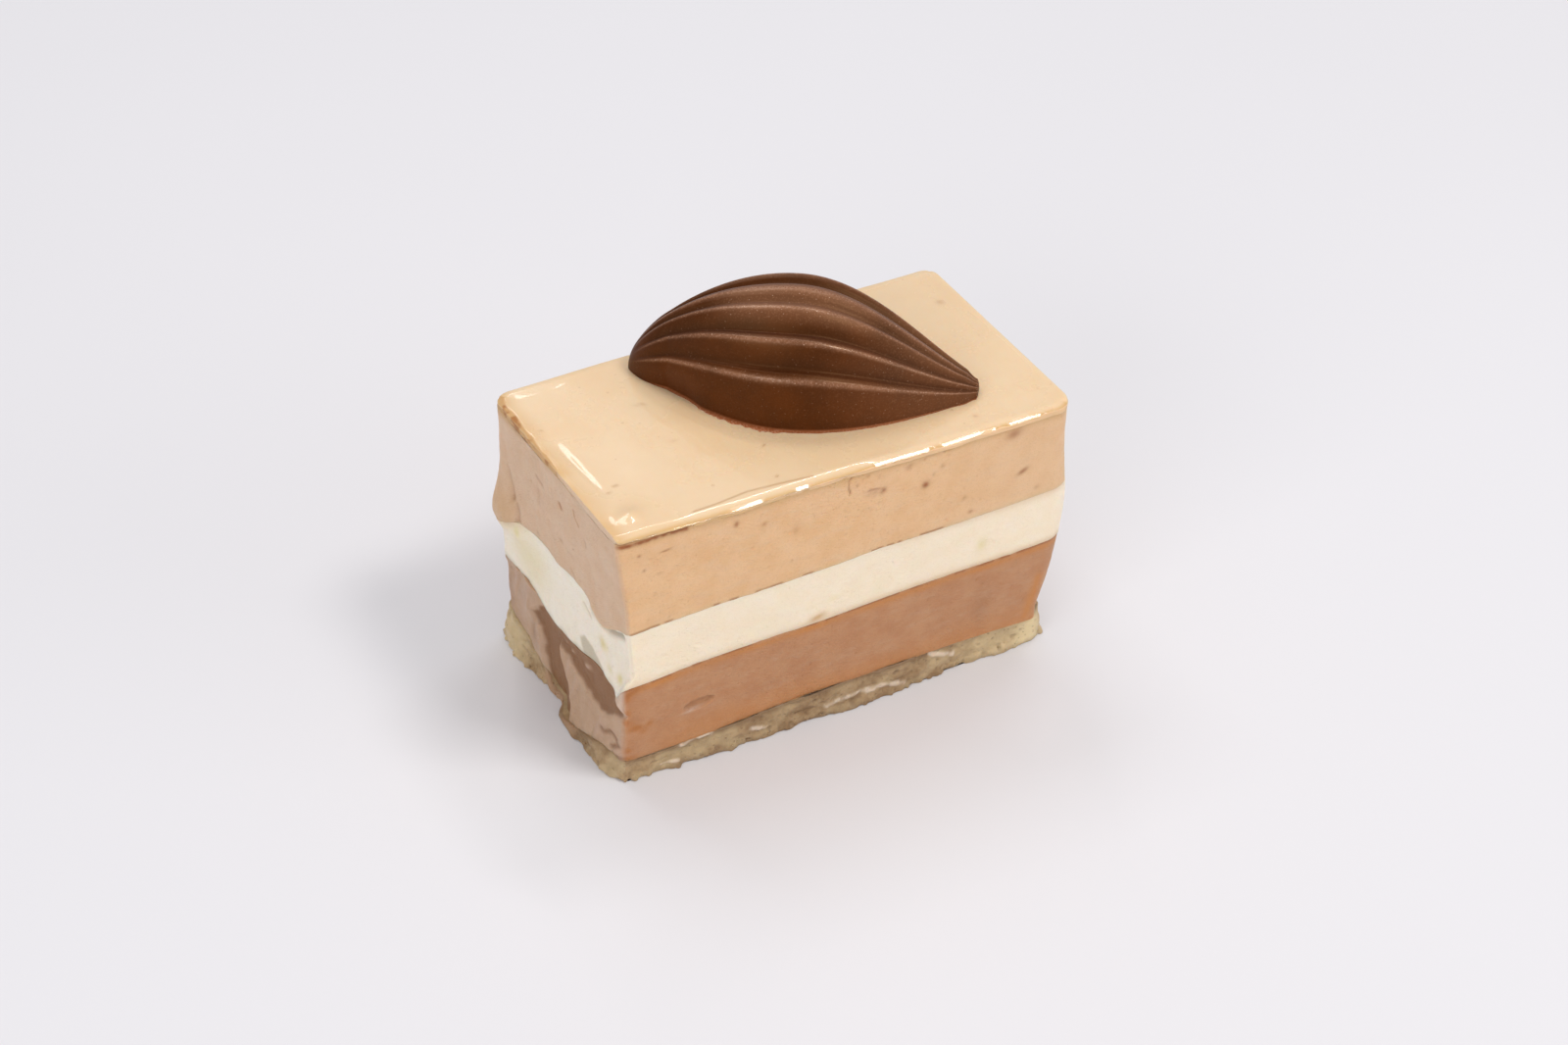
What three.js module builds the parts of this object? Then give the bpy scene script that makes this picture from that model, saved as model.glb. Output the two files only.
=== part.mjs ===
// A single-portion mousse cake: a thin sponge base, three layers of mousse cut as one block,
// and a ribbed chocolate pod lying on top. Millimetres, +Z up, the cake stands on Z = 0.
// +X runs along the long front face, +Y from the front face to the back.

import * as THREE from "three";
import { mergeVertices } from "three/addons/utils/BufferGeometryUtils.js";

const { clamp, degToRad, lerp, smoothstep } = THREE.MathUtils;

// Block of cake: nominal plan, heights on the front face and the gap between pieces
const LENGTH = 75.4;
const DEPTH = 39.9;
const TOP_Z = 47.2;
const SPONGE_TOP_Z = 4.0;
const WHITE_BOTTOM_Z = 20.1;
const TAN_BOTTOM_Z = 30.2;
const LEVEL_TILT = 0.031;
const LAYER_GAP = 0.3;
const HALF_LENGTH = LENGTH / 2;
const HALF_DEPTH = DEPTH / 2;

// The plan isn't quite square: the short sides lean and the back is not parallel to the front
const SIDE_LEAN = -0.047;
const BACK_LEAN = 0.0205;
const CORNER_RADIUS = { frontLeft: 1.0, frontRight: 3.2, backLeft: 2.6, backRight: 2.2 };
const TOP_EDGE_DROP = 0.6;

// The knife dragged the layers on the left side: depths, and where along that side they begin and end
const DROOP_REACH = 9.0;
const WHITE_DROOP = 4.45;
const WHITE_DROOP_FADE = [-20.8, -16.5];
const WHITE_LIFT = 3.0;
const WHITE_LIFT_FADE = [0.5, 12];
const WHITE_HUMP = { depth: 0.9, y: -9.5, reach: 3.0 };
const TAN_CREASE = { depth: 3.1, y: -12.5, reach: 4.5 };
const TAN_SAG = { depth: 0.8, y: -1.0, reach: 6.0 };
const TAN_LUMP = 4.1;
const TAN_LUMP_FADE = [9, 19];
const SPONGE_DIP = 3.3;
const SPONGE_DIP_REACH = 5.0;
const SPONGE_DIP_FRONT_FADE = [-17, -4];
const SPONGE_DIP_BACK_FADE = [3, 8];

// The sponge is thicker towards the right
const SPONGE_RISE = 1.7;
const SPONGE_RISE_FADE = [-34, 6];

// Sides that sag outwards and draw in
const BELLY_Z = 27.0;
const LEFT_BELLY = 1.7;
const LEFT_BELLY_REACH_UP = 5.0;
const LEFT_BELLY_REACH_DOWN = 3.0;
const LEFT_BELLY_FADE = [4, 15];
const RIGHT_BELLY = 1.6;
const RIGHT_BELLY_REACH = 10.0;
const RIGHT_TUCK = 2.0;
const RIGHT_TUCK_Z = 6.0;
const RIGHT_TUCK_REACH = 6.0;
const TAN_LEAN_IN = 1.5;
const TAN_LEAN_HEIGHT = 18.0;
const TAN_BACK_OUT = 0.7;
const WHITE_LEAN_IN = 2.1;
const WHITE_BACK_OUT = 0.7;
const BROWN_LEAN_IN = 0.5;
const BROWN_FOOT = 1.3;
const BROWN_FOOT_FADE = [0.5, 7];
const MEET_HEIGHT = 2.5;
const MEET_FADE = [-19, -14];
const CUT_WAVE = 0.12;
const CUT_WAVE_ALONG = 0.19;
const CUT_WAVE_UP = 0.11;

// Bare recessed arch between raised smears on the left side of the brown layer
const ARCH_RECESS = 0.9;
const ARCH_FRONT_Z = 12.9;
const ARCH_FALL = 4.8;
const ARCH_FALL_POWER = 3;
const ARCH_REACH = 2.6;
const ARCH_FRONT_FADE = [-21, -17];
const ARCH_BACK_FADE = [8, 12];
const ARCH_LEG_Y = 3.4;
const ARCH_LEG_SLANT = 0.42;
const ARCH_LEG_Z = 9.0;
const ARCH_LEG_REACH = 3.0;
const ARCH_LEG_FADE = [8, 12];

// Sponge edge that spreads where the cake stands and crumbles
const SPONGE_FLARE = 1.6;
const SPONGE_FLARE_FADE = [2.5, 16];
const SPONGE_SWELL = 1.8;
const SPONGE_SWELL_FRONT_FADE = [-19.5, -15.5];
const SPONGE_SWELL_BACK_FADE = [-3, 0.5];
const SPONGE_CLIMB = 2.6;
const SPONGE_CLIMB_REACH_X = 6.0;
const SPONGE_CLIMB_REACH_Y = 9.0;
const SPONGE_TAPER = 0.12;
const SPONGE_LEFT_OUT = -0.3;
const SPONGE_RIGHT_OUT = -1.1;
const SPONGE_RIGHT_FLARE = 1.2;
const SPONGE_RIGHT_FLARE_REACH = 5.0;
const SPONGE_FRONT_OUT = 0.3;
const SPONGE_FRONT_TUCK = 1.0;
const SPONGE_FRONT_TUCK_FADE = [5, 24];
const SPONGE_BACK_OUT = 0.2;
const SPONGE_RAGGED = 0.35;
const RAGGED_LEFT = { along: 1.9, up: 0.8 };
const RAGGED_RIGHT = { along: 1.6, up: -0.9 };
const RAGGED_FRONT = { along: 1.3, up: 0.7, beat: 0.37, start: 1 };
const RAGGED_BACK = { along: 1.1, up: -0.6, beat: 0.43, start: 0 };

// Pod: a half fruit with lengthwise ribs, blunt at the stem
const POD_LENGTH = 52.6;
const POD_HALF_WIDTH = 13.0;
const POD_HEIGHT = 15.1;
const POD_STEM_HALF_WIDTH = 2.1;
const POD_STEM_HEIGHT = 2.0;
const POD_WIDTH_CURVE = { peakAt: 0.475, tipPower: 0.985, stemPower: 1.0 };
const POD_HEIGHT_CURVE = { peakAt: 0.48, tipPower: 0.475, stemPower: 1.25 };
const POD_END_MIDDLE = 0.4;
const POD_TIP = new THREE.Vector2(-17.98, 16.87);
const POD_TURN = degToRad(-32.0);
const POD_ROLL = degToRad(6.8);
const POD_ROUNDNESS = 2.2;
const TIP_STUB = 0.01;
const TIP_BLUNT = 2.34;
const TIP_BLUNT_REACH = 0.12;

// Ribs of the pod: a crest, a steep groove above it and a panel that swells up to the next crest.
// The two top ribs each stand the trim nearer the middle than half a pitch
const RIB_COUNT = 6;
const RIB_PITCH = degToRad(23.1);
const TOP_TRIM = degToRad(3.7);
const RIB_WIDTH = degToRad(6.0);
const RIB_HEIGHT = 0.7;
const RIB_FADE = [0, 0.1];
const GROOVE_DEPTH = 0.75;
const GROOVE_GATHER = 1.8;
const GROOVE_GATHER_FADE = [0.5, 0.95];
const TOP_GROOVE_SHARE = 0.5;
const PANEL_START = 0.5;
const PANEL_END = 0.9;
const PANEL_SHARE = 0.8;
const RIB_SWAY = degToRad(-1.5);
const RIB_SWAY_AT = 0.23;
const RIB_SWAY_REACH = 0.11;

// The middle of the whole cake in plan, which becomes the origin
const PLAN_MIDDLE = new THREE.Vector2(-0.145, 0.298);

// How finely the solids are divided
const GRID_X = 20;
const GRID_Y = 18;
const EDGE_CROWDING = 1.25;
const SIDE_RAMP_START = 0.72;
const RIM_SHARPNESS = 8;
const POD_STEPS_ALONG = 26;
const POD_ARCH_STEPS = 64;
const POD_FLOOR_STEPS = 8;

function bell(distance, reach) {
  return Math.exp(-((distance / reach) ** 2));
}

// 0 before the first limit, 1 past the second and smooth between them
function fadeIn(value, [start, end]) {
  return smoothstep(value, start, end);
}

// 0 at the front-left corner and 1 at the back-left corner
function alongLeft(y) {
  return clamp((y + HALF_DEPTH) / DEPTH, 0, 1);
}

// A dent or swelling at one place along a side
function bump(along, { depth, y, reach }) {
  return depth * bell(along - y, reach);
}

// Heights of the lines between the layers
function leftDroop(x, depth, reach = DROOP_REACH) {
  return depth * bell(Math.max(0, x + HALF_LENGTH), reach);
}

function spongeTop(x, y) {
  const rise = SPONGE_RISE * fadeIn(x, SPONGE_RISE_FADE);
  const nearCorner = bell(x + HALF_LENGTH, SPONGE_CLIMB_REACH_X) * bell(y - HALF_DEPTH, SPONGE_CLIMB_REACH_Y);
  const dip = SPONGE_DIP * fadeIn(y, SPONGE_DIP_FRONT_FADE) * (1 - fadeIn(y, SPONGE_DIP_BACK_FADE));
  return SPONGE_TOP_Z + rise + SPONGE_CLIMB * nearCorner - leftDroop(x, dip, SPONGE_DIP_REACH);
}

function whiteBottom(x, y) {
  const drawn = WHITE_DROOP * fadeIn(y, WHITE_DROOP_FADE) - WHITE_LIFT * fadeIn(y, WHITE_LIFT_FADE);
  return WHITE_BOTTOM_Z + LEVEL_TILT * x - leftDroop(x, drawn - bump(y, WHITE_HUMP));
}

function tanBottom(x, y) {
  const drawn = bump(y, TAN_CREASE) + bump(y, TAN_SAG) + TAN_LUMP * fadeIn(y, TAN_LUMP_FADE);
  return TAN_BOTTOM_Z + LEVEL_TILT * x - leftDroop(x, drawn);
}

// How far each layer's sides stand out from the nominal plan
function mousseRight(y, z) {
  const belly = RIGHT_BELLY * bell(z - BELLY_Z, RIGHT_BELLY_REACH);
  return belly - RIGHT_TUCK * bell(z - RIGHT_TUCK_Z, RIGHT_TUCK_REACH);
}

// The soft lump near the back of the left side, which falls away faster below
function leftLump(y, z) {
  const reach = z > BELLY_Z ? LEFT_BELLY_REACH_UP : LEFT_BELLY_REACH_DOWN;
  return LEFT_BELLY * bell(z - BELLY_Z, reach) * fadeIn(y, LEFT_BELLY_FADE);
}

function tanLeft(y, z) {
  const back = alongLeft(y);
  const leanIn = -TAN_LEAN_IN * smoothstep(TOP_Z - z, 0, TAN_LEAN_HEIGHT);
  return leanIn * (1 - back) + TAN_BACK_OUT * back + leftLump(y, z);
}

function whiteSide(y, z) {
  const back = alongLeft(y);
  const share = smoothstep(TAN_BOTTOM_Z - z, 0, TAN_BOTTOM_Z - WHITE_BOTTOM_Z);
  const leanIn = -TAN_LEAN_IN - (WHITE_LEAN_IN - TAN_LEAN_IN) * share;
  return leanIn * (1 - back) + WHITE_BACK_OUT * back + leftLump(y, z);
}

// Where the foot spreads out on the left side
function swellShare(y) {
  return fadeIn(y, SPONGE_SWELL_FRONT_FADE) * (1 - fadeIn(y, SPONGE_SWELL_BACK_FADE));
}

function brownSide(y, z) {
  const back = alongLeft(y);
  const ends = fadeIn(y, ARCH_FRONT_FADE) * (1 - fadeIn(y, ARCH_BACK_FADE));
  const bandZ = ARCH_FRONT_Z - ARCH_FALL * back ** ARCH_FALL_POWER;
  const band = bell(z - bandZ, ARCH_REACH) * ends;
  const legY = ARCH_LEG_Y + ARCH_LEG_SLANT * (z - ARCH_LEG_Z);
  const leg = bell(y - legY, ARCH_LEG_REACH) * (1 - fadeIn(z, ARCH_LEG_FADE));
  const foot = BROWN_FOOT * swellShare(y) * (1 - fadeIn(z, BROWN_FOOT_FADE));
  return foot - BROWN_LEAN_IN * (1 - back) - ARCH_RECESS * Math.max(band, leg);
}

// The brown and white sides meet at the line between them: on the brown side at the front corner,
// and on the white side further back
function meetLeft(y, line) {
  return lerp(brownSide(y, line), whiteSide(y, line), fadeIn(y, MEET_FADE));
}

function whiteLeft(y, z) {
  const line = whiteBottom(-HALF_LENGTH, y);
  return lerp(meetLeft(y, line), whiteSide(y, z), smoothstep(z, line, line + MEET_HEIGHT));
}

function brownLeft(y, z) {
  const line = whiteBottom(-HALF_LENGTH, y);
  return lerp(brownSide(y, z), meetLeft(y, line), smoothstep(z, line - MEET_HEIGHT, line));
}

// A crumbling edge: ripples that come and go along it where a beat is given
function ragged(along, z, { along: ripple, up, beat = 0, start = Math.PI / 2 }) {
  return SPONGE_RAGGED * Math.sin(ripple * along + up * z) * Math.sin(beat * along + start);
}

function spongeLeft(y, z) {
  const spread = SPONGE_SWELL * swellShare(y) + SPONGE_FLARE * fadeIn(y, SPONGE_FLARE_FADE);
  return SPONGE_LEFT_OUT + spread * (1 - SPONGE_TAPER * z) + ragged(y, z, RAGGED_LEFT);
}

function spongeRight(y, z) {
  const flare = SPONGE_RIGHT_FLARE * bell(y + HALF_DEPTH, SPONGE_RIGHT_FLARE_REACH);
  return SPONGE_RIGHT_OUT + flare * (1 - SPONGE_TAPER * z) + ragged(y, z, RAGGED_RIGHT);
}

function spongeFront(x, z) {
  const tuck = SPONGE_FRONT_TUCK * fadeIn(x, SPONGE_FRONT_TUCK_FADE);
  return SPONGE_FRONT_OUT - tuck + ragged(x, z, RAGGED_FRONT);
}

function spongeBack(x, z) {
  return SPONGE_BACK_OUT + ragged(x, z, RAGGED_BACK);
}

// Knife-cut front and back faces, flat but for a slight wave
function cutFace(x, z) {
  return CUT_WAVE * Math.sin(CUT_WAVE_ALONG * x + CUT_WAVE_UP * z);
}

// Rounds the plan's corners: a square corner patch becomes a quarter disc
function roundedPlan(x, y) {
  const side = x < 0 ? "Left" : "Right";
  const radius = CORNER_RADIUS[(y < 0 ? "front" : "back") + side];
  const inner = new THREE.Vector2(
    clamp(x, radius - HALF_LENGTH, HALF_LENGTH - radius),
    clamp(y, radius - HALF_DEPTH, HALF_DEPTH - radius),
  );
  const out = new THREE.Vector2(x, y).sub(inner);
  const reach = Math.max(Math.abs(out.x), Math.abs(out.y));
  return inner.add(out.setLength(reach));
}

// Crowds the grid towards the edges, where the shape changes most
function crowd(unit) {
  return Math.sin(unit * EDGE_CROWDING) / Math.sin(EDGE_CROWDING);
}

function sideRamp(unit) {
  return clamp((unit - SIDE_RAMP_START) / (1 - SIDE_RAMP_START), 0, 1) ** 2;
}

// One layer: a divided box whose points are moved to the layer's own top, bottom and sides
function layerGeometry({ bottom, top, steps, left, right, front, back, edgeDrop = 0 }) {
  const geometry = new THREE.BoxGeometry(2, 2, 1, GRID_X, GRID_Y, steps);
  geometry.deleteAttribute("normal");
  geometry.deleteAttribute("uv");
  const solid = mergeVertices(geometry);
  const place = solid.getAttribute("position");
  for (let i = 0; i < place.count; i += 1) {
    const u = crowd(place.getX(i));
    const v = crowd(place.getY(i));
    const w = place.getZ(i) + 0.5;
    const plan = roundedPlan(u * HALF_LENGTH, v * HALF_DEPTH);
    const leanedX = plan.x + SIDE_LEAN * plan.y;
    const leanedY = plan.y + BACK_LEAN * plan.x * (1 + v) / 2;
    const roughZ = lerp(bottom(leanedX, leanedY), top(leanedX, leanedY), w);
    const x = leanedX - left(leanedY, roughZ) * sideRamp(-u) + right(leanedY, roughZ) * sideRamp(u);
    const y = leanedY - front(leanedX, roughZ) * sideRamp(-v) + back(leanedX, roughZ) * sideRamp(v);
    const rim = edgeDrop * w * Math.max(sideRamp(Math.abs(u)), sideRamp(Math.abs(v))) ** RIM_SHARPNESS;
    const z = lerp(bottom(x, y), top(x, y), w) - rim;
    place.setXYZ(i, x, y, z);
  }
  solid.computeVertexNormals();
  return solid;
}

// The pod's half width or height at a share of its length from the rounded tip
function podShape(share, peak, stem, { peakAt, tipPower, stemPower }) {
  const quarter = Math.PI / 2;
  if (share < peakAt) {
    return peak * Math.sin(quarter * share / peakAt) ** tipPower;
  }
  const fall = Math.cos(quarter * (share - peakAt) / (1 - peakAt));
  return stem + (peak - stem) * Math.max(fall, 0) ** stemPower;
}

// The pod is a little wider just behind its tip than the curve makes it
function tipWidth(share) {
  const run = Math.min(share / TIP_BLUNT_REACH, 1);
  return TIP_BLUNT * Math.sqrt(run) * (1 - run);
}

// How far the pod's skin stands out at an angle round its arch. Each cell runs from an upper rib
// down to the next one, the cell at the top has a rib at both ends and the last one has none below.
function ribRelief(angle, share) {
  const sway = RIB_SWAY * bell(share - RIB_SWAY_AT, RIB_SWAY_REACH);
  const fromTop = Math.abs(angle - sway - Math.PI / 2 - POD_ROLL) + TOP_TRIM;
  const lastCell = RIB_COUNT / 2;
  const cell = Math.min(Math.floor(fromTop / RIB_PITCH + 0.5), lastCell);
  const belowUpper = fromTop - (cell - 0.5) * RIB_PITCH;
  const crestBelow = bell(RIB_PITCH - belowUpper, RIB_WIDTH);
  const crestAbove = bell(belowUpper, RIB_WIDTH);
  const panel = 1 - smoothstep(belowUpper, RIB_WIDTH * PANEL_START, RIB_PITCH * PANEL_END);
  const lower = cell < lastCell ? crestBelow : 0;
  const upper = cell > 0 ? panel * PANEL_SHARE + crestAbove * (1 - PANEL_SHARE) : 0;
  const gather = 1 + GROOVE_GATHER * fadeIn(share, GROOVE_GATHER_FADE);
  const cellDepth = cell === 0 ? TOP_GROOVE_SHARE : Math.sign(lastCell - cell);
  const groove = GROOVE_DEPTH * gather * cellDepth;
  return ((RIB_HEIGHT + groove) * Math.max(lower, upper) - groove) * fadeIn(share, RIB_FADE);
}

// The pod's section at a share of its length: an arch and the flat underside that closes it
function podSection(step, share, halfWidth, height) {
  if (step >= POD_ARCH_STEPS) {
    return { sideways: halfWidth * (2 * (step - POD_ARCH_STEPS) / POD_FLOOR_STEPS - 1), up: 0 };
  }
  const angle = Math.PI * step / POD_ARCH_STEPS;
  const power = 2 / POD_ROUNDNESS;
  const swollen = 1 + ribRelief(angle, share) / POD_HALF_WIDTH;
  const across = Math.cos(angle);
  return {
    sideways: Math.sign(across) * Math.abs(across) ** power * halfWidth * swollen,
    up: Math.sin(angle) ** power * height * swollen,
  };
}

// A closed tube, tip downwards, whose rings are moved to the pod's sections
function podGeometry() {
  const around = POD_ARCH_STEPS + POD_FLOOR_STEPS;
  const tube = new THREE.CylinderGeometry(1, 1, 1, around, POD_STEPS_ALONG);
  tube.deleteAttribute("normal");
  tube.deleteAttribute("uv");
  const solid = mergeVertices(tube);
  const place = solid.getAttribute("position");
  const axis = new THREE.Vector2(Math.cos(POD_TURN), Math.sin(POD_TURN));
  const across = new THREE.Vector2(-axis.y, axis.x);
  const rest = TOP_Z + LAYER_GAP;
  for (let i = 0; i < place.count; i += 1) {
    const onSkin = Math.hypot(place.getX(i), place.getZ(i)) > 0.5;
    const turn = Math.atan2(place.getX(i), place.getZ(i)) / (2 * Math.PI) + 0.5;
    const step = Math.round(turn * around) % around;
    const spaced = place.getY(i) + 0.5;
    const share = TIP_STUB + (1 - TIP_STUB) * (0.5 - Math.cos(Math.PI * spaced) / 2);
    const curve = podShape(share, POD_HALF_WIDTH, POD_STEM_HALF_WIDTH, POD_WIDTH_CURVE);
    const halfWidth = curve + tipWidth(share);
    const height = podShape(share, POD_HEIGHT, POD_STEM_HEIGHT, POD_HEIGHT_CURVE);
    const endMiddle = { sideways: 0, up: height * POD_END_MIDDLE };
    const { sideways, up } = onSkin ? podSection(step, share, halfWidth, height) : endMiddle;
    const plan = POD_TIP.clone().addScaledVector(axis, POD_LENGTH * share).addScaledVector(across, sideways);
    place.setXYZ(i, plan.x, plan.y, rest + up);
  }
  solid.computeVertexNormals();
  return solid;
}

function piece(name, geometry, color, roughness) {
  const material = new THREE.MeshStandardMaterial({ color, roughness, metalness: 0 });
  const mesh = new THREE.Mesh(geometry, material);
  mesh.name = name;
  return mesh;
}

const spongeBase = layerGeometry({
  bottom: () => 0,
  top: spongeTop,
  steps: 3,
  left: spongeLeft,
  right: spongeRight,
  front: spongeFront,
  back: spongeBack,
});

const brownMousse = layerGeometry({
  bottom: (x, y) => spongeTop(x, y) + LAYER_GAP,
  top: whiteBottom,
  steps: 6,
  left: brownLeft,
  right: mousseRight,
  front: cutFace,
  back: cutFace,
});

const whiteMousse = layerGeometry({
  bottom: (x, y) => whiteBottom(x, y) + LAYER_GAP,
  top: tanBottom,
  steps: 4,
  left: whiteLeft,
  right: mousseRight,
  front: cutFace,
  back: cutFace,
});

const tanMousse = layerGeometry({
  bottom: (x, y) => tanBottom(x, y) + LAYER_GAP,
  top: () => TOP_Z,
  steps: 6,
  left: tanLeft,
  right: mousseRight,
  front: cutFace,
  back: cutFace,
  edgeDrop: TOP_EDGE_DROP,
});

const cake = new THREE.Group();
cake.add(
  piece("sponge_base", spongeBase, 0xb79e80, 0.7),
  piece("brown_mousse", brownMousse, 0xb48364, 0.5),
  piece("white_mousse", whiteMousse, 0xf1ddc4, 0.5),
  piece("tan_mousse", tanMousse, 0xe0b68e, 0.45),
  piece("chocolate_pod", podGeometry(), 0x512c12, 0.4),
);
cake.position.set(-PLAN_MIDDLE.x, -PLAN_MIDDLE.y, 0);

export default cake;
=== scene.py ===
import functools
import math

import bpy
import numpy as np
from bpy.props import FloatProperty, FloatVectorProperty, IntProperty, PointerProperty
from mathutils import Matrix, Vector


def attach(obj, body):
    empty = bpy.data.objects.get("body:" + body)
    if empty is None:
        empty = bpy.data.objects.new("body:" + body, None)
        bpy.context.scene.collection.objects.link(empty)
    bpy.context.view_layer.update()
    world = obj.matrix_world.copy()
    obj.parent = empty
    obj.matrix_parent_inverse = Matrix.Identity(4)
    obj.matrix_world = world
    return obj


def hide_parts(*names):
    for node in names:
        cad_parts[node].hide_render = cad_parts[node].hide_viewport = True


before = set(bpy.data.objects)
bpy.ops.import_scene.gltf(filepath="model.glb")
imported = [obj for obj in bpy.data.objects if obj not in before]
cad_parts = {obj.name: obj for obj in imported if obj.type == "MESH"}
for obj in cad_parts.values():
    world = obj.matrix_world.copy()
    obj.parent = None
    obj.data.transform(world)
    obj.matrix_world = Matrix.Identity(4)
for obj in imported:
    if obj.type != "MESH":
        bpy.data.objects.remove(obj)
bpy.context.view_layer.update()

bl_info = {
    "name": "Mousse cake",
    "version": (1, 0, 0),
    "blender": (4, 5, 0),
    "location": "View3D > Sidebar > Mousse cake",
    "description": "Builds a cut block of layered mousse cake with a glazed top and a ribbed chocolate pod",
    "category": "Object",
}

BODY = "root"

# Shapes are worked out in millimetres and made in metres
MM = 0.001

# The block: its middle in plan, its leaning sides and its corners, in millimetres
PLAN_MIDDLE = (-0.145, 0.298)
SIDE_LEAN = -0.047
BACK_LEAN = 0.0205
CORNER_RADIUS = {(-1, -1): 1.0, (1, -1): 3.2, (-1, 1): 2.6, (1, 1): 2.2}
SIDE_RAMP_START = 0.72
TOP_Z = 47.2
CUT_WAVE = 0.12
# The wave of a cut face turns by these radians per millimetre along it and up it
CUT_WAVE_TURN = (0.19, 0.11)
# Share of a layer's height over which its relief fades in from each edge
RELIEF_FADE = 0.015
# Rings round the rounded edge of a layer, and the sizes of the rings on its flat faces
EDGE_STEPS = 5
CAP_SCALES = (0.02, 0.2, 0.4, 0.6, 0.8, 0.92, 0.97, 0.99)

# Where the layers meet
SPONGE_TOP_Z = 4.0
SPONGE_RISE = 1.7
SPONGE_RISE_FADE = (-34.0, 6.0)
SPONGE_CLIMB = 2.6
SPONGE_CLIMB_REACH = (6.0, 9.0)
WHITE_BOTTOM_Z = 20.1
TAN_BOTTOM_Z = 30.2
LEVEL_TILT = 0.031
DROOP_REACH = 9.0
GLAZE_BOTTOM_Z = 45.95
TAN_TOP_Z = 46.3

# Where the knife dragged the layers on the left side: depths, places from front to back and fades
WHITE_DROOP = 4.45
WHITE_DROOP_FADE = (-20.8, -16.5)
WHITE_LIFT = 3.0
WHITE_LIFT_FADE = (0.5, 12.0)
WHITE_HUMP = 0.9
WHITE_HUMP_Y = -9.5
WHITE_HUMP_REACH = 3.0
TAN_CREASE = 3.1
TAN_CREASE_Y = -12.5
TAN_CREASE_REACH = 4.5
TAN_SAG = 0.8
TAN_SAG_Y = -1.0
TAN_SAG_REACH = 6.0
TAN_LUMP = 4.1
TAN_LUMP_FADE = (9.0, 19.0)
SPONGE_DIP = 3.3
SPONGE_DIP_REACH = 5.0
SPONGE_DIP_FRONT_FADE = (-17.0, -4.0)
SPONGE_DIP_BACK_FADE = (3.0, 8.0)

# How the sides bulge, lean and tuck in
BELLY_Z = 27.0
LEFT_BELLY = 1.7
LEFT_BELLY_REACH_UP = 5.0
LEFT_BELLY_REACH_DOWN = 3.0
LEFT_BELLY_FADE = (4.0, 15.0)
RIGHT_BELLY = 1.6
RIGHT_BELLY_REACH = 10.0
RIGHT_TUCK = 2.0
RIGHT_TUCK_Z = 6.0
RIGHT_TUCK_REACH = 6.0
TAN_LEAN_IN = 1.5
TAN_LEAN_DROP = 18.0
TAN_BACK_OUT = 0.7
WHITE_LEAN_IN = 2.1
WHITE_BACK_OUT = 0.7
BROWN_LEAN_IN = 0.5
BROWN_FOOT = 1.3
BROWN_FOOT_Z = (0.5, 7.0)
MEET_HEIGHT = 2.5
MEET_FADE = (-19.0, -14.0)
ARCH_RECESS = 0.9
ARCH_SOFTNESS = 0.9
SPONGE_TAPER = 0.12
SPONGE_SWELL = 1.8
SPONGE_SWELL_FRONT_FADE = (-19.5, -15.5)
SPONGE_SWELL_BACK_FADE = (-3.0, 0.5)
SPONGE_FLARE = 1.6
SPONGE_FLARE_FADE = (2.5, 16.0)
SPONGE_RAGGED = 0.35
SPONGE_LUMPS = ((5.5, 7.0), (2.2, 3.0))
SPONGE_SEEDS = {"left": 60, "right": 63, "front": 66, "back": 69}
SPONGE_LEFT_OUT = -0.3
SPONGE_RIGHT_OUT = -1.1
SPONGE_RIGHT_FLARE = 1.2
SPONGE_RIGHT_FLARE_REACH = 5.0
SPONGE_FRONT_OUT = 0.3
SPONGE_FRONT_TUCK = 1.0
SPONGE_FRONT_TUCK_FADE = (5.0, 24.0)
SPONGE_BACK_OUT = 0.2

# The bare patch on the left side of the brown layer, as points from front to back and up
BARE_PATCH = (
    (9.7, 10.9), (7.5, 13.2), (4.8, 16.2), (-1.3, 15.4), (-4.0, 15.6), (-7.6, 16.4),
    (-11.2, 17.0), (-14.6, 15.6), (-16.6, 13.6), (-20.6, 13.2), (-17.3, 11.4), (-14.4, 9.3),
    (-9.3, 9.1), (-6.1, 10.0), (-2.8, 11.2), (0.6, 11.3), (0.6, 9.1), (-0.8, 7.0),
    (-2.5, 5.0), (-4.3, 2.7), (-4.5, 0.0), (4.1, 0.0), (5.2, 3.6), (5.6, 7.4), (6.8, 10.3),
)

# The pod: its tip, its heading and roll, and the share of its length where it is widest and highest
POD_TIP = (-17.98, 16.87)
POD_TURN = math.radians(-32.0)
POD_ROLL = math.radians(6.8)
# The two top ribs each stand this angle nearer the middle than half a pitch
POD_TOP_TRIM = math.radians(3.7)
POD_REST_Z = 47.1
POD_ROUNDNESS = 2.2
POD_WIDEST_AT = 0.475
POD_HIGHEST_AT = 0.48
POD_TIP_BLUNT = 2.34
POD_TIP_BLUNT_REACH = 0.12
POD_WIDTH_POWERS = (0.985, 1.0)
POD_HEIGHT_POWERS = (0.475, 1.25)
POD_SWAY = math.radians(-1.5)
POD_SWAY_AT = 0.23
POD_SWAY_REACH = 0.11
# The lowest rib on the near side, at these angles round from the far foot, sways less by this share
POD_LOW_RIB = (2.2, 2.6)
POD_LOW_RIB_CALM = 0.7
# The stem's cut end is worn round, and the last steps along the pod close it
POD_WORN_FROM = 0.965
POD_WORN = 0.2
POD_CLOSING = 0.05
POD_END_MIDDLE = 0.4
# The arch takes most of the steps round the section, bunched at its feet, and the flat underside the rest
POD_ARCH_SHARE = 0.9
POD_BUNCHING = 0.7
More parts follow.
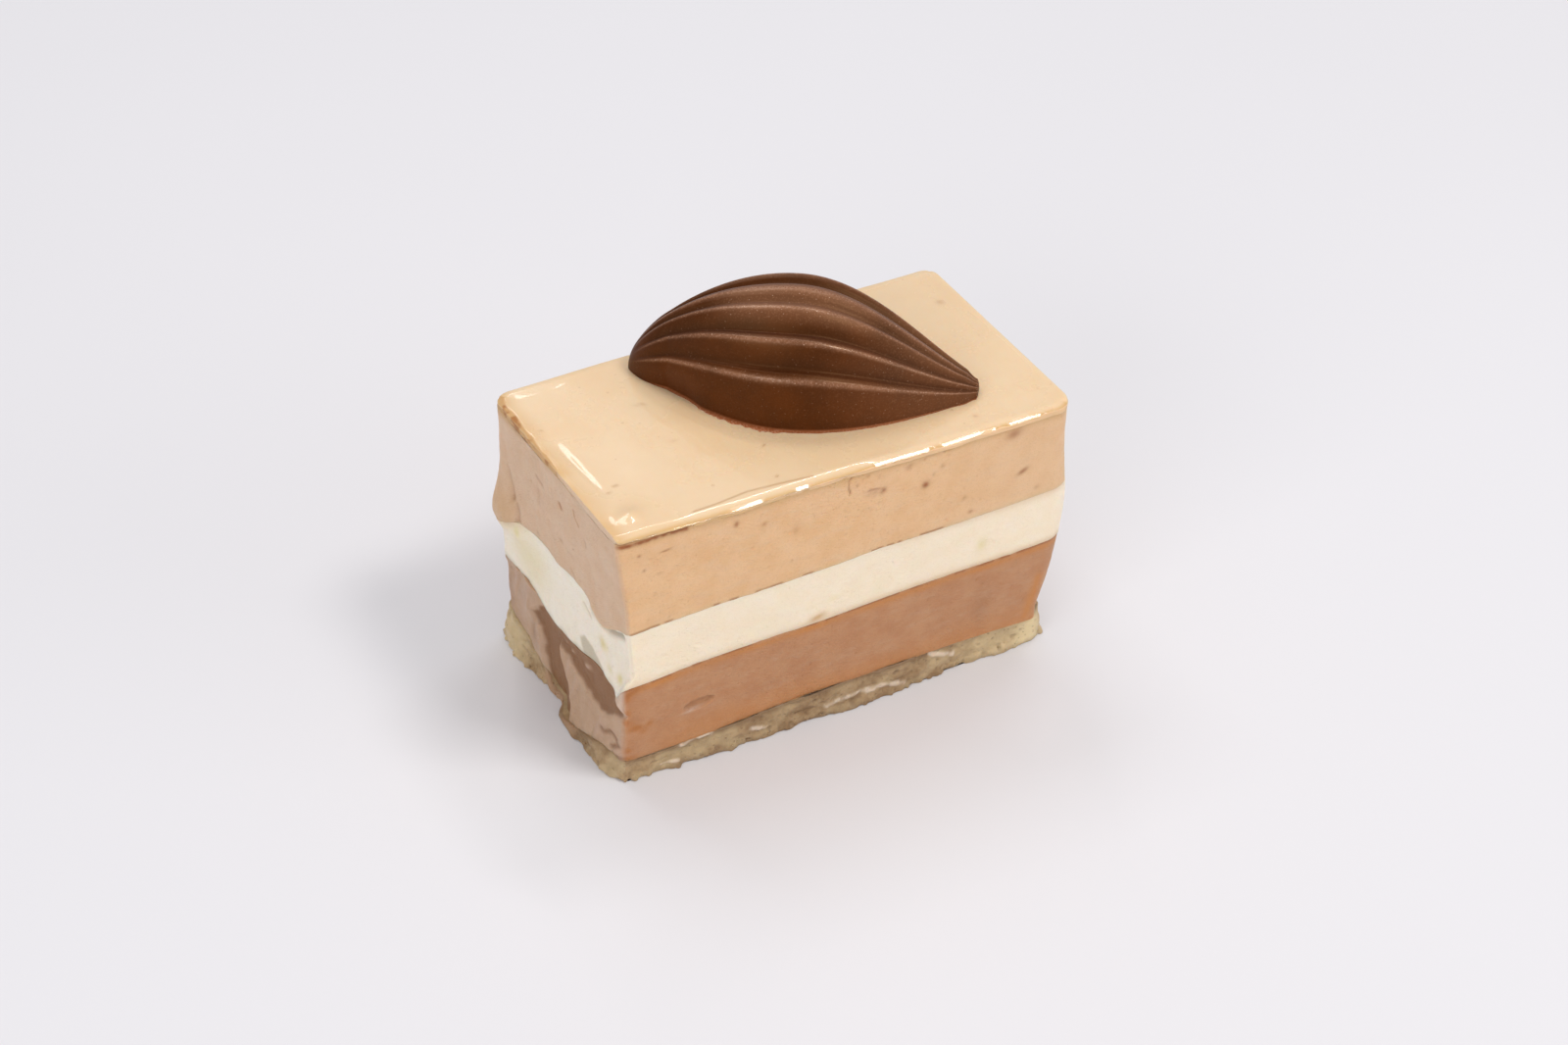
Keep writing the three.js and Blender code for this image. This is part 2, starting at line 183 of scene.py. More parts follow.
# Ribs: where they begin at the tip, where grooves deepen to the stem, and the thin line above each crest
POD_RIBS_BEGIN = (0.0, 0.1)
POD_GATHER_FADE = (0.5, 0.95)
POD_GATHER = 1.8
POD_CREST_POWER = 12.0
POD_LINE_ABOVE = 0.075
POD_LINE_WIDTH = 0.016
POD_LINE_HEIGHT = 0.13
# Along the near foot: shares of the length where each thing begins and ends, and angles up from the foot
POD_FLASH_SPAN = ((0.2, 0.225), (0.42, 0.52))
POD_FLASH_UP = (0.003, 0.014)
POD_LEDGE_BEGIN = (0.05, 0.15)
POD_TUCK_SPAN = ((0.03, 0.15), (0.18, 0.24))
POD_TUCK_UP = (0.0, 0.4)
POD_FOOT_EDGE_UP = (0.008, 0.03)
POD_FOOT_EDGE_BEGIN = (0.04, 0.12)
# Painted sheen on the top, where it catches the overhead light: angles from the top, and shares of the length
POD_SHEEN_ROUND = (0.17, 0.36)
POD_SHEEN_SPAN = ((0.2, 0.35), (0.62, 0.8))
# Points nearer than this, in metres, become one
POD_MERGE = 2e-6

# The photograph's view
CAMERA_PLACE = (-156.657, -287.665, 293.607)
CAMERA_AIM = (0.35, -0.93, 23.27)
CAMERA_ROLL = math.radians(2.087)
CAMERA_LENS = 63.0
CAMERA_SENSOR = 36.0


def bell(distance, reach):
    return np.exp(-(distance / reach) ** 2)


def smooth(value, low, high):
    share = np.clip((value - low) / (high - low), 0.0, 1.0)
    return share * share * (3.0 - 2.0 * share)


def between(value, rise, fall):
    """One in the middle of a span, fading in and out at its ends."""
    return smooth(value, *rise) * (1 - smooth(value, *fall))


def strongest(*marks):
    return functools.reduce(np.maximum, marks)


NOISE_CELLS = 64


def noise(a, b, size, seed):
    """Smooth random values from -1 to 1 over a plane, with lumps of about the given size."""
    table = np.random.default_rng(seed).random((NOISE_CELLS, NOISE_CELLS)) * 2.0 - 1.0
    size_a, size_b = np.broadcast_to(size, 2)
    a = np.asarray(a) / size_a
    b = np.asarray(b) / size_b
    column = np.floor(a).astype(int)
    row = np.floor(b).astype(int)
    across = smooth(a - column, 0.0, 1.0)
    up = smooth(b - row, 0.0, 1.0)

    def along_row(step):
        here = (row + step) % NOISE_CELLS
        left = table[column % NOISE_CELLS, here]
        right = table[(column + 1) % NOISE_CELLS, here]
        return left * (1 - across) + right * across

    return along_row(0) * (1 - up) + along_row(1) * up


def wander(along, size, seed):
    """Smooth random values from -1 to 1 along a line."""
    return noise(along, 0 * along, size, seed)


def spot(a, b, place, radii, turn=0.0):
    """An oval mark that fades out from its middle."""
    turn = math.radians(turn)
    along = (a - place[0]) * math.cos(turn) + (b - place[1]) * math.sin(turn)
    across = (b - place[1]) * math.cos(turn) - (a - place[0]) * math.sin(turn)
    return np.exp(-(along / radii[0]) ** 2 - (across / radii[1]) ** 2)


def distance_to(a, b, points):
    """How far each place is from a bent line."""
    nearest = np.full(np.shape(a), 1e9)
    for (a0, b0), (a1, b1) in zip(points, points[1:]):
        length = max((a1 - a0) ** 2 + (b1 - b0) ** 2, 1e-9)
        share = np.clip(((a - a0) * (a1 - a0) + (b - b0) * (b1 - b0)) / length, 0.0, 1.0)
        away = np.hypot(a - a0 - share * (a1 - a0), b - b0 - share * (b1 - b0))
        nearest = np.minimum(nearest, away)
    return nearest


def trail(a, b, points, width):
    """A mark along a bent line, of the given half width."""
    return bell(distance_to(a, b, points), width)


def patch(a, b, points, softness):
    """A mark that fills an outline, soft along its edge."""
    ring = (*points, points[0])
    inside = np.zeros(np.shape(a), dtype=bool)
    for (a0, b0), (a1, b1) in zip(ring, ring[1:]):
        if b0 != b1:
            inside ^= ((b0 > b) != (b1 > b)) & (a < a0 + (a1 - a0) * (b - b0) / (b1 - b0))
    away = distance_to(a, b, ring)
    return smooth(np.where(inside, away, -away), -softness, softness)


def trails(a, b, rows):
    """The strongest of many bent lines, each given as points, half width and strength."""
    return np.max([trail(a, b, points, width) * strength for points, width, strength in rows], axis=0)


def spots(a, b, rows):
    """The strongest of many oval marks, each given as place, radii, turn and strength."""
    marks = [spot(a, b, place, radii, turn) * strength for place, radii, turn, strength in rows]
    return np.max(marks, axis=0)


def dashes(along, spans, softness):
    """One inside each of the spans of a line, soft at their ends."""
    rows = []
    for start, end in spans:
        rows.append(between(along, (start - softness, start + softness), (end - softness, end + softness)))
    return np.max(rows, axis=0)


def uneven(along, z, seed):
    """The soft unevenness of a broken sponge edge."""
    large, small = SPONGE_LUMPS
    return SPONGE_RAGGED * (noise(along, z, large, seed) + 0.5 * noise(along, z, small, seed + 1))


class Block:
    """The cake's plan and the heights where its layers meet, in millimetres."""

    def __init__(self, sizes):
        self.half_length = sizes.block_length / MM / 2
        self.half_depth = sizes.block_depth / MM / 2

    def along_left(self, y):
        return np.clip((y + self.half_depth) / (2 * self.half_depth), 0.0, 1.0)

    def left_droop(self, x, depth):
        return depth * bell(np.maximum(0.0, x + self.half_length), DROOP_REACH)

    def sponge_top(self, x, y):
        rise = SPONGE_RISE * smooth(x, *SPONGE_RISE_FADE)
        reach_x, reach_y = SPONGE_CLIMB_REACH
        climb = bell(x + self.half_length, reach_x) * bell(y - self.half_depth, reach_y)
        dip = between(y, SPONGE_DIP_FRONT_FADE, SPONGE_DIP_BACK_FADE)
        dip = SPONGE_DIP * dip * bell(np.maximum(0.0, x + self.half_length), SPONGE_DIP_REACH)
        return SPONGE_TOP_Z + rise + SPONGE_CLIMB * climb - dip

    def white_bottom(self, x, y):
        droop = WHITE_DROOP * smooth(y, *WHITE_DROOP_FADE) - WHITE_LIFT * smooth(y, *WHITE_LIFT_FADE)
        droop = droop - WHITE_HUMP * bell(y - WHITE_HUMP_Y, WHITE_HUMP_REACH)
        return WHITE_BOTTOM_Z + LEVEL_TILT * x - self.left_droop(x, droop)

    def tan_bottom(self, x, y):
        droop = TAN_CREASE * bell(y - TAN_CREASE_Y, TAN_CREASE_REACH)
        droop = droop + TAN_SAG * bell(y - TAN_SAG_Y, TAN_SAG_REACH) + TAN_LUMP * smooth(y, *TAN_LUMP_FADE)
        return TAN_BOTTOM_Z + LEVEL_TILT * x - self.left_droop(x, droop)

    def mousse_right(self, y, z):
        belly = RIGHT_BELLY * bell(z - BELLY_Z, RIGHT_BELLY_REACH)
        return belly - RIGHT_TUCK * bell(z - RIGHT_TUCK_Z, RIGHT_TUCK_REACH)

    def left_lump(self, y, z):
        """The soft lump near the back of the left side, which falls away faster below."""
        reach = np.where(z > BELLY_Z, LEFT_BELLY_REACH_UP, LEFT_BELLY_REACH_DOWN)
        return LEFT_BELLY * bell(z - BELLY_Z, reach) * smooth(y, *LEFT_BELLY_FADE)

    def tan_left(self, y, z):
        back = self.along_left(y)
        lean_in = -TAN_LEAN_IN * smooth(TOP_Z - z, 0.0, TAN_LEAN_DROP)
        return lean_in * (1 - back) + TAN_BACK_OUT * back + self.left_lump(y, z)

    def white_side(self, y, z):
        back = self.along_left(y)
        share = smooth(TAN_BOTTOM_Z - z, 0.0, TAN_BOTTOM_Z - WHITE_BOTTOM_Z)
        lean_in = -TAN_LEAN_IN - (WHITE_LEAN_IN - TAN_LEAN_IN) * share
        return lean_in * (1 - back) + WHITE_BACK_OUT * back + self.left_lump(y, z)

    def swell_share(self, y):
        """Where the foot spreads out on the left side."""
        return between(y, SPONGE_SWELL_FRONT_FADE, SPONGE_SWELL_BACK_FADE)

    def brown_side(self, y, z):
        recess = ARCH_RECESS * patch(y - PLAN_MIDDLE[1], z, BARE_PATCH, ARCH_SOFTNESS)
        foot = BROWN_FOOT * self.swell_share(y) * (1 - smooth(z, *BROWN_FOOT_Z))
        return foot - recess - BROWN_LEAN_IN * (1 - self.along_left(y))

    def meet_left(self, y, line):
        """The brown and white sides meet on the brown one at the front corner, else on the white one."""
        back = smooth(y, *MEET_FADE)
        return self.brown_side(y, line) * (1 - back) + self.white_side(y, line) * back

    def white_left(self, y, z):
        line = self.white_bottom(-self.half_length, y)
        apart = smooth(z, line, line + MEET_HEIGHT)
        return self.meet_left(y, line) * (1 - apart) + self.white_side(y, z) * apart

    def brown_left(self, y, z):
        line = self.white_bottom(-self.half_length, y)
        meet = smooth(z, line - MEET_HEIGHT, line)
        return self.brown_side(y, z) * (1 - meet) + self.meet_left(y, line) * meet

    def sponge_left(self, y, z):
        spread = SPONGE_SWELL * self.swell_share(y) + SPONGE_FLARE * smooth(y, *SPONGE_FLARE_FADE)
        return SPONGE_LEFT_OUT + spread * (1 - SPONGE_TAPER * z) + uneven(y, z, SPONGE_SEEDS["left"])

    def sponge_right(self, y, z):
        flare = SPONGE_RIGHT_FLARE * bell(y + self.half_depth, SPONGE_RIGHT_FLARE_REACH)
        return SPONGE_RIGHT_OUT + flare * (1 - SPONGE_TAPER * z) + uneven(y, z, SPONGE_SEEDS["right"])

    def sponge_front(self, x, z):
        tuck = SPONGE_FRONT_TUCK * smooth(x, *SPONGE_FRONT_TUCK_FADE)
        return SPONGE_FRONT_OUT - tuck + uneven(x, z, SPONGE_SEEDS["front"])

    def sponge_back(self, x, z):
        return SPONGE_BACK_OUT + uneven(x, z, SPONGE_SEEDS["back"])

    def cut_face(self, x, z):
        along, up = CUT_WAVE_TURN
        return CUT_WAVE * np.sin(along * x + up * z)

    def rounded_plan(self, x, y):
        """Turns each square corner patch into a quarter disc, and gives the way outwards."""
        radius = np.select(
            [(x < 0) & (y < 0), (x >= 0) & (y < 0), (x < 0) & (y >= 0)],
            [CORNER_RADIUS[-1, -1], CORNER_RADIUS[1, -1], CORNER_RADIUS[-1, 1]],
            CORNER_RADIUS[1, 1],
        )
        inner_x = np.clip(x, radius - self.half_length, self.half_length - radius)
        inner_y = np.clip(y, radius - self.half_depth, self.half_depth - radius)
        out_x = x - inner_x
        out_y = y - inner_y
        length = np.maximum(np.hypot(out_x, out_y), 1e-9)
        reach = np.maximum(np.abs(out_x), np.abs(out_y))
        out = (out_x / length, out_y / length)
        return inner_x + out[0] * reach, inner_y + out[1] * reach, out


class Layer:
    """One layer of the block: where it begins and ends, and how its four sides run."""

    def __init__(self, block, bottom, top, left, right, front, back):
        self.block = block
        self.bottom = bottom
        self.top = top
        self.left = left
        self.right = right
        self.front = front
        self.back = back

    def place(self, u, v, share, lift, inset):
        """Points of the layer from their place in the unit square plan and their share of its height."""
        block = self.block
        plan_x, plan_y, out = block.rounded_plan(u * block.half_length, v * block.half_depth)
        x = plan_x + SIDE_LEAN * plan_y
        y = plan_y + BACK_LEAN * plan_x * (1 + v) / 2
        rough_z = self.bottom(x, y) * (1 - share) + self.top(x, y) * share + lift
        moved_x = x - self.left(y, rough_z) * side_ramp(-u) + self.right(y, rough_z) * side_ramp(u)
        moved_y = y - self.front(x, rough_z) * side_ramp(-v) + self.back(x, rough_z) * side_ramp(v)
        z = self.bottom(moved_x, moved_y) * (1 - share) + self.top(moved_x, moved_y) * share + lift
        return moved_x - inset * out[0], moved_y - inset * out[1], z, out


def side_ramp(unit):
    return np.clip((unit - SIDE_RAMP_START) / (1 - SIDE_RAMP_START), 0.0, 1.0) ** 2


def outline_units(block, fine, coarse):
    """Points round the square plan from the front left corner, finer on the front and the left."""
    corners = ((-1, -1), (1, -1), (1, 1), (-1, 1))
    lengths = (block.half_length * 2, block.half_depth * 2) * 2
    steps = (fine, coarse, coarse, fine)
    rows = []
    for side in range(4):
        count = round(lengths[side] / steps[side])
        share = np.arange(count)[:, None] / count
        start = np.array(corners[side])
        end = np.array(corners[(side + 1) % 4])
        rows.append(start + (end - start) * share)
    return np.concatenate(rows)


class Loft:
    """A closed skin of rings: bottom middle, bottom edge, sides, top edge, top middle."""

    def __init__(self, layer, units, rise, edge, cap_scales):
        self.layer = layer
        rings = [(scale, 0.0, 0.0, 0.0) for scale in cap_scales]
        turns = np.linspace(0.0, math.pi / 2, EDGE_STEPS)
        rings += [(1.0, 0.0, edge * (1 - math.cos(t)), edge * (1 - math.sin(t))) for t in turns]
        rings += [(1.0, t, edge * (1 - 2 * t), 0.0) for t in np.linspace(0.0, 1.0, rise + 1)[1:-1]]
        rings += [(1.0, 1.0, -edge * (1 - math.cos(t)), edge * (1 - math.sin(t))) for t in turns[::-1]]
        rings += [(scale, 1.0, 0.0, 0.0) for scale in cap_scales[::-1]]
        scale, share, lift, inset = (np.array(column)[:, None] for column in zip(*rings))
        self.count = len(units)
        u = units[:, 0][None, :] * scale
        v = units[:, 1][None, :] * scale
        ones = np.ones_like(u)
        self.x, self.y, self.z, out = layer.place(u, v, share * ones, lift * ones, inset * ones)
        self.u, self.v = u, v
        self.share = share * ones
        self.side = (scale * ones == 1.0).astype(float)
        self.out_x = out[0] * self.side
        self.out_y = out[1] * self.side
        self.face = {
            "left": np.maximum(-self.out_x, 0.0) ** 2,
            "right": np.maximum(self.out_x, 0.0) ** 2,
            "front": np.maximum(-self.out_y, 0.0) ** 2,
            "back": np.maximum(self.out_y, 0.0) ** 2,
        }
        self.marks = {}

    def at(self):
        """The points in the part's own frame."""
        return self.x - PLAN_MIDDLE[0], self.y - PLAN_MIDDLE[1], self.z

    def push(self, distance):
        """Moves the sides outwards."""
        self.x = self.x + self.out_x * distance
        self.y = self.y + self.out_y * distance

    def mesh(self, name):
        """Makes the mesh, closed at both ends, with its marks as attributes."""
        rows = self.x.shape[0]
        around = self.count
        x, y, z = self.at()
        points = np.stack([x, y, z], axis=-1).reshape(-1, 3)
        low = points[:around].mean(axis=0)
        high = points[-around:].mean(axis=0)
        points = np.vstack([points, low, high]) * MM
        here = np.arange(around)
        after = (here + 1) % around
        faces = []
        for row in range(rows - 1):
            a = row * around
            b = a + around
            faces.append(np.stack([a + here, a + after, b + after, b + here], axis=-1))
        faces = np.concatenate(faces).tolist()
        pole = rows * around
        last = (rows - 1) * around
        faces += np.stack([after, here, np.full(around, pole)], axis=-1).tolist()
        faces += np.stack([last + here, last + after, np.full(around, pole + 1)], axis=-1).tolist()
        mesh = bpy.data.meshes.new(name)
        mesh.from_pydata(points.tolist(), [], faces)
        mesh.shade_smooth()
        for mark, values in self.marks.items():
            attribute = mesh.attributes.new(mark, "FLOAT", "POINT")
            flat = np.concatenate([np.clip(values, 0.0, 1.0).ravel(), [0.0, 0.0]])
            attribute.data.foreach_set("value", flat.astype(np.float32))
        return mesh


# Node helpers


class Field:
    """A value in a node tree that adds, scales and bends like a number."""

    def __init__(self, tree, socket):
        self.tree = tree
        self.socket = socket

    def math(self, operation, *others):
        node = self.tree.nodes.new("ShaderNodeMath")
        node.operation = operation
        for socket, value in zip(node.inputs, (self, *others)):
            put(self.tree, value, socket)
        return Field(self.tree, node.outputs[0])

    def __add__(self, other):
        return self.math("ADD", other)

    __radd__ = __add__

    def __sub__(self, other):
        return self.math("SUBTRACT", other)

    def __rsub__(self, other):
        return (self * -1.0) + other

    def __mul__(self, other):
        return self.math("MULTIPLY", other)

    __rmul__ = __mul__

    def __truediv__(self, other):
        return self.math("DIVIDE", other)

    def __pow__(self, other):
        return self.math("POWER", other)

    def sin(self):
        return self.math("SINE")

    def cos(self):
        return self.math("COSINE")

    def abs(self):
        return self.math("ABSOLUTE")

    def sign(self):
        return self.math("SIGN")

    def least(self, other):
        return self.math("MINIMUM", other)

    def most(self, other):
        return self.math("MAXIMUM", other)

    def bell(self, reach):
        ratio = self / reach
        return (ratio * ratio * -1.0).math("EXPONENT")

    def smooth(self, low, high):
        values = {"Value": self, "From Min": low, "From Max": high}
        node = add(self.tree, "ShaderNodeMapRange", values, interpolation_type="SMOOTHSTEP")
        return Field(self.tree, node.outputs["Result"])

    def between(self, rise, fall):
        return self.smooth(*rise) * (1.0 - self.smooth(*fall))


def put(tree, value, socket):
    """Links a field or a socket to a node's input, or sets the input to a plain value."""
    if isinstance(value, Field):
        tree.links.new(value.socket, socket)
    elif isinstance(value, bpy.types.NodeSocket):
        tree.links.new(value, socket)
    else:
        socket.default_value = value


def fill(tree, node, values):
    """Links or sets the named inputs of a node that it shows."""
    for label, value in values.items():
        put(tree, value, next(s for s in node.inputs if s.enabled and s.name == label))


def add(tree, kind, inputs=None, **settings):
    """Adds a node, sets it up and fills its inputs."""
    node = tree.nodes.new(kind)
    for key, value in settings.items():
        setattr(node, key, value)
    fill(tree, node, inputs or {})
    return node


def shown(node, name):
    """The output of a name that a node shows, as a field."""
    return Field(node.id_data, next(s for s in node.outputs if s.enabled and s.name == name))


def cloud(tree, place, scale, detail, roughness=0.5):
    """Soft noise over a place, about one half."""
    values = {"Vector": place, "Scale": scale, "Detail": detail, "Roughness": roughness}
    return shown(add(tree, "ShaderNodeTexNoise", values), "Fac")


VALUE = "NodeSocketFloat"
GEOMETRY = {"Geometry": "NodeSocketGeometry"}


def new_tree(name, kind, inputs, outputs):
    """Makes a node group with named inputs and outputs, and gives its inputs as fields."""
    tree = bpy.data.node_groups.new(name, kind)
    for way, sockets in (("INPUT", inputs), ("OUTPUT", outputs)):
        for label, socket_type in sockets.items():
            tree.interface.new_socket(label, in_out=way, socket_type=socket_type)
    source = tree.nodes.new("NodeGroupInput")
    return tree, {label: Field(tree, source.outputs[label]) for label in inputs}


def new_shader_group(name, inputs, outputs):
    """Makes a shader group that takes and gives plain values."""
    return new_tree(name, "ShaderNodeTree", dict.fromkeys(inputs, VALUE), dict.fromkeys(outputs, VALUE))


def new_geometry_tree(name, values, counts):
    """Makes a geometry tree that takes a mesh, plain values, whole numbers and a material."""
    inputs = {**GEOMETRY, **dict.fromkeys(values, VALUE), **dict.fromkeys(counts, "NodeSocketInt")}
    return new_tree(name, "GeometryNodeTree", {**inputs, "Material": "NodeSocketMaterial"}, GEOMETRY)


def end_tree(tree, results):
    fill(tree, tree.nodes.new("NodeGroupOutput"), results)


def end_geometry(tree, geometry, material):
    """Ends a geometry tree: makes instances real and sets the material."""
    real = add(tree, "GeometryNodeRealizeInstances", {"Geometry": geometry})
    values = {"Geometry": shown(real, "Geometry"), "Material": material}
    dressed = add(tree, "GeometryNodeSetMaterial", values)
    end_tree(tree, {"Geometry": shown(dressed, "Geometry")})


def run_tree(name, mesh, tree, values):
    """Runs a geometry tree on a mesh and gives the result as a plain object at the origin."""
    source = bpy.data.objects.new(name + "_source", mesh)
    bpy.context.scene.collection.objects.link(source)
    modifier = source.modifiers.new("Nodes", "NODES")
    modifier.node_group = tree
    for item in tree.interface.items_tree:
        if item.item_type == "SOCKET" and item.in_out == "INPUT" and item.name in values:
            modifier[item.identifier] = values[item.name]
    depsgraph = bpy.context.evaluated_depsgraph_get()
    evaluated = source.evaluated_get(depsgraph)
    result = bpy.data.meshes.new_from_object(evaluated, preserve_all_data_layers=True, depsgraph=depsgraph)
    source.modifiers.remove(modifier)
    bpy.data.objects.remove(source)
    result.name = name
    if not result.polygons:
        raise RuntimeError(name + " came out empty")
    piece = bpy.data.objects.new(name, result)
    bpy.context.scene.collection.objects.link(piece)
    return piece


def finish_piece(piece, node=None):
    """Fixes a piece to the cake and hides the part that it stands for."""
    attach(piece, BODY)
    if node:
        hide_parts(node)


# Shader groups


def object_place(tree):
    return add(tree, "ShaderNodeTexCoord").outputs["Object"]


def dots(tree, place, scale, share, pick, least, spread, core):
    """Dots in a share of the cells of a net, solid in their core and fading out to their edge."""
    cells = add(tree, "ShaderNodeTexVoronoi", {"Vector": place, "Scale": scale})
    draw = add(tree, "ShaderNodeSeparateColor", {"Color": cells.outputs["Color"]})
    chosen = shown(draw, pick).math("LESS_THAN", share)
    size = shown(draw, "Green") * spread + least
    near = 1.0 - shown(cells, "Distance").smooth(size * core, size)
    return near * chosen


def pore_group():
    """Fine pores, soft mottling, a grain height and long smears for a whipped, set surface."""
    name = "Mousse pores"
    if name in bpy.data.node_groups:
        return bpy.data.node_groups[name]
    inputs = ("Pore Scale", "Pore Share", "Mottle Scale")
    tree, given = new_shader_group(name, inputs, ("Pores", "Mottle", "Grain", "Smears"))
    place = object_place(tree)
    scale = given["Pore Scale"]
    pores = dots(tree, place, scale, given["Pore Share"], pick="Red", least=0.12, spread=0.28, core=0.35)
    mottle = cloud(tree, place, given["Mottle Scale"], detail=5.0, roughness=0.6)
    grain = cloud(tree, place, scale * 1.7, detail=3.0, roughness=0.6)
    # Smears lie along the layers, three times as long as they are high
    flattened = add(tree, "ShaderNodeMapping", {"Vector": place, "Scale": (1.0, 1.0, 3.0)})
    smears = cloud(tree, shown(flattened, "Vector"), scale=260.0, detail=4.0, roughness=0.6)
    results = {
        "Pores": pores,
        "Mottle": mottle.smooth(0.3, 0.7),
        "Grain": grain - pores,
        "Smears": smears.smooth(0.45, 0.75),
    }
    end_tree(tree, results)
    return tree


def speck_group():
    """Sparse round specks of uneven size."""
    name = "Specks"
    if name in bpy.data.node_groups:
        return bpy.data.node_groups[name]
    tree, given = new_shader_group(name, ("Scale", "Share", "Size"), ("Specks",))
    place = object_place(tree)
    scale = given["Scale"]
    share = given["Share"]
    size = given["Size"]
    specks = dots(tree, place, scale, share, pick="Blue", least=size * 0.3, spread=size, core=0.4)
    end_tree(tree, {"Specks": specks})
    return tree


def place_group(tree, group, values):
    """Places a group in a material and gives its outputs as fields."""
    node = add(tree, "ShaderNodeGroup", values, node_tree=group)
    return {output.name: Field(tree, output) for output in node.outputs}


# Materials


def blend(tree, factor, first, second):
    """Mixes two colours, each a socket or a plain colour."""
    node = tree.nodes.new("ShaderNodeMix")
    node.data_type = "RGBA"
    put(tree, factor, node.inputs[0])
    put(tree, colour(first), node.inputs[6])
    put(tree, colour(second), node.inputs[7])
    return node.outputs[2]


def colour(value):
    return value if isinstance(value, bpy.types.NodeSocket) else (*value[:3], 1.0)


def paint(tree, base, coats):
    """Lays coats of colour over a base, each where its mask is."""
    for mask, tone in coats:
        base = blend(tree, mask, base, tone)
    return base


def mark_field(tree, name):
    return shown(add(tree, "ShaderNodeAttribute", attribute_name=name), "Fac")


def new_material(name):
    material = bpy.data.materials.new(name)
    material.use_nodes = True
    tree = material.node_tree
    shader = tree.nodes["Principled BSDF"]
    return material, tree, shader


def bump(tree, shader, height, strength, distance):
    """Roughens a surface by a height, with the distance in millimetres."""
    node = add(tree, "ShaderNodeBump", {"Strength": strength, "Distance": distance * MM, "Height": height})
    put(tree, node.outputs["Normal"], shader.inputs["Normal"])


def soften(shader, weight, radius, scale):
    """Lets light spread a little way under the surface, with the scale in millimetres."""
    shader.inputs["Subsurface Weight"].default_value = weight
    shader.inputs["Subsurface Radius"].default_value = radius
    shader.inputs["Subsurface Scale"].default_value = scale * MM


MOUSSE_PORES = {"Pore Scale": 2300.0, "Pore Share": 0.3, "Mottle Scale": 240.0}
SPONGE_PORES = {"Pore Scale": 1500.0, "Pore Share": 0.5, "Mottle Scale": 520.0}
GLAZE_PORES = {"Pore Scale": 900.0, "Pore Share": 0.04, "Mottle Scale": 90.0}
GLAZE_SPECKS = {"Scale": 330.0, "Share": 0.05, "Size": 0.09}
CHOCOLATE_SPECKS = {"Scale": 2300.0, "Share": 0.4, "Size": 0.22}


def mousse_material(name, look, marks):
    """A set mousse: mottled and porous, with painted shade in its pores and pits; greyer on its sides, partly
    where a knife dragged it and partly as painted side light; with the given marks on it.
    """
    material, tree, shader = new_material(name)
    skin = place_group(tree, pore_group(), MOUSSE_PORES)
    mottle = skin["Mottle"]
    smears = skin["Smears"]
    # The sides take a greyer tone: partly the knife-smeared surface, partly painted cooler light on the sides
    dragged = blend(tree, mottle * 0.7, look.dragged, look.dragged_and_side_light_deep)
    coats = (
        (mottle * 0.9 - 0.1, look.cut_deep),
        (mark_field(tree, "dragged"), dragged),
        (smears * 0.25, look.dragged),
        *((mark_field(tree, mark), tone) for mark, tone in marks),
        (skin["Grain"].smooth(0.5, 0.75) * 0.16, look.pore),
        # Painted shade inside the pores and in the pits of the mesh
        (skin["Pores"] * 0.06 + mark_field(tree, "pit") * 0.14, look.pore),
    )
    values = {
        "Base Color": paint(tree, look.cut, coats),
        "Roughness": mottle * 0.12 + 0.42,
        "Specular IOR Level": 0.4,
    }
    fill(tree, shader, values)
    bump(tree, shader, skin["Grain"] + smears * 0.15, strength=0.65, distance=0.22)
    soften(shader, weight=0.35, radius=(1.0, 0.55, 0.3), scale=1.6)
    return material


def sponge_material(colours):
    """Wet crumb: open, uneven, with pale dabs of cream, and painted shade in its pores and where its shade
    mark is set.
    """
    material, tree, shader = new_material("Wet sponge")
    crumb = place_group(tree, pore_group(), SPONGE_PORES)
    mottle = crumb["Mottle"]
    coats = (
        (mottle, colours.sponge_dark),
        (mark_field(tree, "pale"), colours.sponge_pale),
        # Painted shade where the shade mark is set, and in the pores
        (mark_field(tree, "shade"), colours.sponge_shade),
        (crumb["Pores"] * 0.4, colours.sponge_shade),
        (mark_field(tree, "cream") * 0.65, colours.cream),
        (mark_field(tree, "smear") * 0.8, colours.smear),
    )
    fill(tree, shader, {"Base Color": paint(tree, colours.sponge, coats), "Roughness": mottle * 0.3 + 0.35})
    bump(tree, shader, crumb["Grain"], strength=0.5, distance=0.18)
    soften(shader, weight=0.25, radius=(1.0, 0.6, 0.3), scale=1.0)
    return material


def glaze_material(colours, tan):
    """Clear set glaze over pale mousse: very smooth, deeper to its rim, with a few specks and fine lines."""
    material, tree, shader = new_material("Clear glaze")
    pores = place_group(tree, pore_group(), GLAZE_PORES)
    specks = place_group(tree, speck_group(), GLAZE_SPECKS)
    mottle = pores["Mottle"]
    dull = mark_field(tree, "dull")
    broken = blend(tree, mark_field(tree, "crumb"), colours.gold, colours.glaze_line)
    coats = (
        (mottle * 0.65 + 0.17, colours.glaze_deep),
        (mark_field(tree, "rim"), colours.glaze_rim),
        (mark_field(tree, "line"), colours.glaze_line),
        (pores["Pores"] * 0.25, colours.glaze_line),
        (specks["Specks"] * 0.6, colours.glaze_line),
        (mark_field(tree, "cut"), tan.cut),
        (mark_field(tree, "stain"), colours.stain),
        (mark_field(tree, "dragged"), tan.dragged),
        (mark_field(tree, "torn"), broken),
    )
    values = {
        "Base Color": paint(tree, colours.glaze, coats),
        "Roughness": mottle * 0.1 + dull * 0.3 + 0.22,
        "Coat Weight": 1.0 - dull,
        "Coat Roughness": 0.03,
        "Coat IOR": 1.45,
    }
    fill(tree, shader, values)
    soften(shader, weight=0.3, radius=(1.0, 0.6, 0.3), scale=1.5)
    return material


